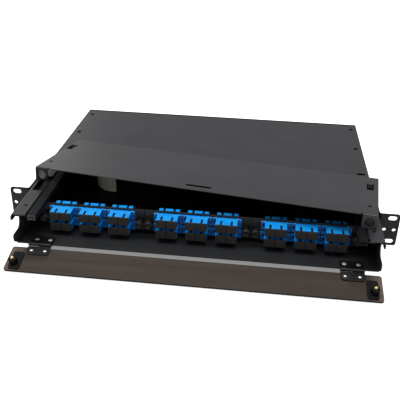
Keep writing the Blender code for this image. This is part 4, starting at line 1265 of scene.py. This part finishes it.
@dataclass
class Ports:
    """Duplex adapters with their clips, sleeves and dust caps, and the plates' rivets."""

    count: int = 18
    rivets: int = 6
    edge_mm: float = 0.3
    ear_hole: tuple[float, float] = (0.0153, 0.0011)
    ear_hole_z: float = -0.0007
    ear_hole_depth: float = 0.0080
    flange_ahead: float = 0.00155
    port_drop: float = 0.00485
    port_room: tuple[float, float, float] = (0.0114, 0.0144, 0.0045)
    web: float = 0.0015
    web_margin: float = 0.0003
    pitch: float = 0.00635
    bore: float = 0.0013
    sleeve_radius: float = 0.00235
    sleeve_face: float = 0.0021
    sleeve_ends: tuple[float, float] = (0.0040, -0.0048)
    sleeve_chamfer: float = 0.0003
    clip_x: float = 0.0129
    clip_half: float = 0.0007
    clip_depth: tuple[float, float] = (-0.0016, -0.0004)
    clip_height: tuple[float, float] = (0.0049, 0.0058)

    def nodes(self, kind: str) -> list[str]:
        """Names of the CAD nodes of a kind that is made once for each adapter."""
        return [f"{kind}_{number:02d}" for number in range(1, self.count + 1)]

    def middle(self, node: str) -> Vector:
        """Middle of a CAD node's box."""
        low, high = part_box(node)
        return (low + high) / 2

    def port_lift(self) -> float:
        """Height of the ports' middle above the middle of their adapter's box."""
        name = self.nodes("adapter")[0]
        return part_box(name)[1].z - self.port_drop - self.middle(name).z

    def master(self, name: str, node: str) -> bpy.types.Object:
        """Copy a CAD node about the middle of its own box.

        Args:
            name: Name of the copy.
            node: CAD node.

        Returns:
            The copy.
        """
        body = cad_copy(node)
        bmesh.ops.translate(body, vec=-self.middle(node), verts=body.verts)
        return from_bmesh(name, body)

    def adapters(self) -> None:
        """Lay the azure housings, drilled through their ears, as one object."""
        names = self.nodes("adapter")
        housing = self.master("housing", names[0])
        reach, radius = self.ear_hole
        flange_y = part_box("adapter_plate_left")[0].y - self.flange_ahead - self.middle(names[0]).y
        drill = bmesh.new()
        for side in Side:
            place = Matrix.Translation((side.value * reach, flange_y, self.ear_hole_z))
            bmesh.ops.create_cone(
                drill,
                cap_ends=True,
                segments=20,
                radius1=radius,
                radius2=radius,
                depth=self.ear_hole_depth,
                matrix=place @ Matrix.Rotation(math.pi / 2, 4, "X"),
            )
        carve(housing, from_bmesh("drill", drill))
        centres = [self.middle(name) for name in names]
        lift = Vector((0.0, 0.0, self.port_lift()))

        def finish_of(middle: Vector, normal: Vector) -> int:
            """Choose the finish of an adapter face.

            Args:
                middle: Middle of the face.
                normal: Its normal.

            Returns:
                1 on the walls of the ports and of their key ways, 2 on other upright faces and 0 on top.
            """
            nearest = min(centres, key=lambda centre: abs(centre.x - middle.x) + abs(centre.z - middle.z))
            across, along, up = (abs(value) for value in middle - nearest - lift)
            upright = 0 if normal.z > 0.5 else 2
            wide, deep, high = self.port_room
            if across > wide or up > high or along > deep:
                return upright
            at_web = abs(along - self.web) < self.web_margin
            return 1 if abs(normal.y) < 0.9 or at_web else upright

        pattern = Pattern(housing, Coat.ADAPTER, self.edge_mm)
        shades = (Coat.PORT, Coat.ADAPTER_SIDE)
        pattern.lay("port_adapters", "tray", centres, replaces=names, others=shades, pick=finish_of)
        pattern.close()

    def fittings(self) -> None:
        """Lay the steel clips' tips and the ceramic sleeves of every adapter."""
        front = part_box("adapter_plate_left")[0].y
        (near, far), (low, high) = self.clip_depth, self.clip_height
        corners = []
        for side in Side:
            x = side.value * self.clip_x
            corners.append(((x - self.clip_half, near, low), (x + self.clip_half, far, high)))
        tips = boxes("clip", corners)
        centres = [self.middle(name) for name in self.nodes("adapter")]
        lift = self.port_lift()
        clips = Pattern(tips, Coat.STEEL, 0.15)
        clips.lay("port_clips", "tray", [(place.x, front, place.z + lift) for place in centres])
        clips.close()
        front_end, rear_end = self.sleeve_ends
        radius, face, chamfer = self.sleeve_radius, self.sleeve_face, self.sleeve_chamfer
        wall = [(self.bore, front_end), (face, front_end), (radius, front_end - chamfer)]
        wall += [(radius, rear_end + chamfer), (face, rear_end), (self.bore, rear_end)]
        wall += [(self.bore, front_end)]
        sleeve = tube("sleeve", wall, 20, Matrix.Rotation(math.pi / 2, 4, "X"))
        sleeves = Pattern(sleeve, Coat.CERAMIC)
        places = [
            (place.x + side.value * self.pitch, place.y, place.z + lift) for place in centres for side in Side
        ]
        sleeves.lay("port_sleeves", "tray", places)
        sleeves.close()

    def caps(self) -> None:
        """Put each dust cap on its own body."""
        names = self.nodes("dust_cap")
        pattern = Pattern(self.master("cap", names[0]), Coat.CAP, 0.35)
        for number, name in enumerate(names, start=1):
            pattern.lay(f"cap_{number:02d}", f"cap_{number:02d}", [self.middle(name)], replaces=[name])
        pattern.close()

    def plate_rivets(self) -> None:
        """Turn the push-pull rivets, with a dished face and a grip groove."""
        profile = [(0.0, 12.9), (2.3, 12.9), (2.7, 13.7), (3.5, 13.8), (4.8, 12.4), (4.8, 11.4), (4.4, 11.1)]
        profile += [(4.4, 10.6), (4.8, 10.3), (4.8, 8.2), (2.64, 6.3), (2.64, 1.5), (4.5, 1.5), (4.56, 0.3)]
        profile += [(2.8, 0.3), (2.8, -3.15), (1.7, -6.15), (0.0, -6.15)]
        knob = tube("knob", [(r * MM, h * MM) for r, h in profile], 28, Matrix.Rotation(math.pi / 2, 4, "X"))
        pattern = Pattern(knob, Coat.KNOB)
        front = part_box("adapter_plate_left")[0].y
        for number in range(1, self.rivets + 1):
            node = f"plate_rivet_{number}"
            middle = self.middle(node)
            pattern.lay(f"rivet_{number}", f"rivet_{number}", [(middle.x, front, middle.z)], replaces=[node])
        pattern.close()

    def build(self) -> None:
        """Build and dress everything that the plates carry."""
        self.adapters()
        self.fittings()
        self.caps()
        self.plate_rivets()


@dataclass
class Door:
    """Smoked door with its hinge leaves, studs and latches."""

    edge_mm: float = 0.3
    leaf_edge_mm: float = 0.15
    guide_edge_mm: float = 0.25
    plunger_edge_mm: float = 0.2
    hinge_x: float = 0.1834
    hole_spread: float = 0.0082
    hole_out: float = 0.0088
    leaf_top: float = -0.0008
    under: float = -0.0053
    latch_x: float = 0.2058
    latch_out: float = 0.0300
    ribs: int = 16
    rib_reach: float = 0.0044
    rib_low: tuple[float, float, float] = (-0.0005, -0.0004, -0.0002)
    rib_high: tuple[float, float, float] = (0.0006, 0.0004, 0.0066)
    rib_edge_mm: float = 0.15

    def placed(self, x: float, y: float, z: float) -> Vector:
        """Place of a point that is given in the flat door's frame."""
        return DOOR_FRAME @ Vector((x, y, z))

    def studs(self) -> None:
        """Rivet the hinge leaves to the door with bright domed studs."""
        drop = (self.under - self.leaf_top) / MM
        profile = [(0.0, 0.8), (1.1, 0.7), (1.9, 0.4), (2.35, 0.02), (1.9, 0.0), (1.9, drop), (2.6, drop)]
        profile += [(2.3, drop - 0.4), (1.2, drop - 0.6), (0.0, drop - 0.6)]
        stud = tube("stud", [(r * MM, h * MM) for r, h in profile], 24)
        pattern = Pattern(stud, Coat.STEEL)
        places = [
            self.placed(side.value * self.hinge_x + step * self.hole_spread, -self.hole_out, self.leaf_top)
            for side in Side
            for step in (-1, 1)
        ]
        pattern.lay("door_studs", "door", places, [(DOOR_ANGLE, 0.0, 0.0)] * len(places))
        pattern.close()

    def grips(self) -> None:
        """Stand the ribs round the latches' posts."""
        rib = boxes("rib", [(self.rib_low, self.rib_high)])
        pattern = Pattern(rib, Coat.NYLON, self.rib_edge_mm)
        for side in Side:
            places = []
            turns = []
            for index in range(self.ribs):
                angle = math.tau * index / self.ribs
                x = side.value * self.latch_x + self.rib_reach * math.cos(angle)
                y = -self.latch_out + self.rib_reach * math.sin(angle)
                places.append(self.placed(x, y, 0.0))
                turn = Matrix.Rotation(DOOR_ANGLE, 3, "X") @ Matrix.Rotation(angle, 3, "Z")
                turns.append(turn.to_euler())
            pattern.lay("door_ribs_" + side.label, "door", places, turns)
        pattern.close()

    def build(self) -> None:
        """Build and dress the door and what rides on it."""
        door = soften(from_bmesh("door_sheet", cad_copy("front_door")), self.edge_mm)
        up = DOOR_FRAME.to_3x3() @ Vector((0.0, 0.0, 1.0))
        dress(
            door,
            "door",
            (Coat.DOOR, Coat.DOOR_EDGE),
            ("front_door",),
            lambda middle, normal: 0 if abs(normal.dot(up)) > FACES_UP else 1,
        )
        for side in Side:
            label = side.label
            leaf, guide, pin = "door_leaf_" + label, "door_latch_" + label, "door_plunger_" + label
            dressed_node(leaf, "door_hinge_" + label, "door", Coat.HINGE, self.leaf_edge_mm)
            dressed_node(guide, "latch_guide_" + label, "door", Coat.NYLON, self.guide_edge_mm)
            body = "plunger_" + label
            dressed_node(pin, "latch_plunger_" + label, body, Coat.BRASS, self.plunger_edge_mm)
        self.studs()
        self.grips()


# Studio


@dataclass
class Studio:
    """Pale floor, soft light and the camera of the picture."""

    camera_place: tuple[float, float, float] = (0.07208, -0.66369, 0.41099)
    yaw: float = -0.108
    pitch: float = 0.504
    roll: float = 0.020
    focal_px: float = 620.548
    picture_px: float = 400.0
    sensor_mm: float = 36.0
    floor_drop: float = 0.0003
    floor_half: float = 4.0
    floor_lift: float = 0.93
    shade_lift: float = 0.25
    shade_middle: tuple[float, float, float] = (0.0, 0.085, 0.0)
    shade_reach: tuple[float, float, float] = (0.196, 0.185, 1.0)
    shade_edge: tuple[float, float] = (0.99, 1.01)
    world_strength: float = 0.42
    key_power: float = 15.0
    key_size: tuple[float, float] = (1.5, 0.6)
    key_place: tuple[float, float, float] = (-0.30, -0.12, 1.25)
    key_turn: tuple[float, float, float] = (0.0, 0.0, 0.0)
    rear_power: float = 1.15
    rear_size: tuple[float, float] = (0.8, 0.36)
    rear_place: tuple[float, float, float] = (-0.95, 1.35, 0.36)
    rear_turn: tuple[float, float, float] = (77.1, 0.0, -142.8)

    def floor(self, level: float) -> None:
        """Lay a pale floor that shows white in the picture and keeps the object's shadow, with a painted
        shadow: a box round the part's footprint glows less to the camera.

        Args:
            level: Height of the floor.
        """
        body = bmesh.new()
        place = Matrix.Translation((0, 0, level))
        bmesh.ops.create_grid(body, x_segments=1, y_segments=1, size=self.floor_half, matrix=place)
        item = from_bmesh("studio_floor", body)
        material = bpy.data.materials.new("studio_paper")
        material.use_nodes = True
        tree = material.node_tree
        tree.nodes.clear()
        path = add_node(tree, "ShaderNodeLightPath")
        # Painted shadow: the camera's glow drops from floor_lift to shade_lift over a box round the part's
        # footprint
        place = add_node(tree, "ShaderNodeTexCoord")
        moved = add_node(
            tree,
            "ShaderNodeMapping",
            {"vector_type": "TEXTURE"},
            {"Vector": place.outputs["Object"], "Location": self.shade_middle, "Scale": self.shade_reach},
        )
        size = add_node(tree, "ShaderNodeVectorMath", {"operation": "ABSOLUTE"}, {0: moved.outputs[0]})
        parts = add_node(tree, "ShaderNodeSeparateXYZ", links={0: size.outputs[0]})
        reach = add_node(
            tree, "ShaderNodeMath", {"operation": "MAXIMUM"}, {0: parts.outputs["X"], 1: parts.outputs["Y"]}
        )
        shade = add_node(
            tree,
            "ShaderNodeMapRange",
            links={
                "Value": reach.outputs[0],
                "From Min": self.shade_edge[0],
                "From Max": self.shade_edge[1],
                "To Min": self.shade_lift,
                "To Max": self.floor_lift,
            },
        )
        seen = {0: path.outputs["Is Camera Ray"], 1: shade.outputs[0]}
        lift = add_node(tree, "ShaderNodeMath", {"operation": "MULTIPLY"}, seen)
        paper = add_node(tree, "ShaderNodeBsdfDiffuse", links={"Color": linear("#f0f0f0")})
        glow = add_node(tree, "ShaderNodeEmission", links={"Strength": lift.outputs[0]})
        both = add_node(tree, "ShaderNodeAddShader", links={0: paper.outputs[0], 1: glow.outputs[0]})
        add_node(tree, "ShaderNodeOutputMaterial", links={"Surface": both.outputs[0]})
        item.data.materials.append(material)
        item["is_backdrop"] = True

    def lights(self) -> None:
        """Light the world evenly, hang a broad soft box overhead and a small one behind on the left."""
        scene = bpy.context.scene
        world = bpy.data.worlds.new("studio_world")
        scene.world = world
        world.use_nodes = True
        tree = world.node_tree
        tree.nodes.clear()
        path = add_node(tree, "ShaderNodeLightPath")
        strength = add_node(
            tree,
            "ShaderNodeMapRange",
            links={"Value": path.outputs["Is Camera Ray"], "To Min": self.world_strength, "To Max": 1.0},
        )
        background = add_node(
            tree, "ShaderNodeBackground", links={"Color": linear("#ffffff"), "Strength": strength.outputs[0]}
        )
        add_node(tree, "ShaderNodeOutputWorld", links={"Surface": background.outputs[0]})
        self.soft_box("key_box", self.key_place, self.key_turn, self.key_size, self.key_power)
        self.soft_box("rear_box", self.rear_place, self.rear_turn, self.rear_size, self.rear_power)

    def soft_box(
        self, name: str, place: Sequence[float], turn: Sequence[float], size: Sequence[float], power: float
    ) -> None:
        """Hang a rectangular light.

        Args:
            name: Name of the light.
            place: Where it hangs.
            turn: Euler angles in degrees, all zero for a light that faces down.
            size: Its width and height.
            power: Its power in watts.
        """
        lamp = bpy.data.lights.new(name, "AREA")
        lamp.shape = "RECTANGLE"
        lamp.size, lamp.size_y = size
        lamp.energy = power
        item = bpy.data.objects.new(name, lamp)
        item.location = place
        item.rotation_euler = [math.radians(angle) for angle in turn]
        bpy.context.scene.collection.objects.link(item)

    def camera(self) -> None:
        """Set up the camera of the photograph."""
        look = Vector(
            (
                math.sin(self.yaw) * math.cos(self.pitch),
                math.cos(self.yaw) * math.cos(self.pitch),
                -math.sin(self.pitch),
            )
        )
        right = Vector((math.cos(self.yaw), -math.sin(self.yaw), 0.0))
        upward = right.cross(look)
        across = math.cos(self.roll) * right + math.sin(self.roll) * upward
        over = -math.sin(self.roll) * right + math.cos(self.roll) * upward
        data = bpy.data.cameras.new("picture_camera")
        data.sensor_width = self.sensor_mm
        data.lens = self.focal_px / self.picture_px * self.sensor_mm
        item = bpy.data.objects.new("picture_camera", data)
        turn = Matrix((across, over, -look)).transposed().to_4x4()
        item.matrix_world = Matrix.Translation(self.camera_place) @ turn
        bpy.context.scene.collection.objects.link(item)
        bpy.context.scene.camera = item

    def build(self) -> None:
        """Set the floor, the lights, the camera and the plain view."""
        self.floor(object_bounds()[0][2] - self.floor_drop)
        self.lights()
        self.camera()
        bpy.context.scene.view_settings.view_transform = "Standard"


def main() -> None:
    """Build the panel piece by piece, then its studio."""
    for assembly in (Case(), Lid(), Tray(), Ports(), Door(), Studio()):
        assembly.build()


if __name__ == "__main__":
    main()
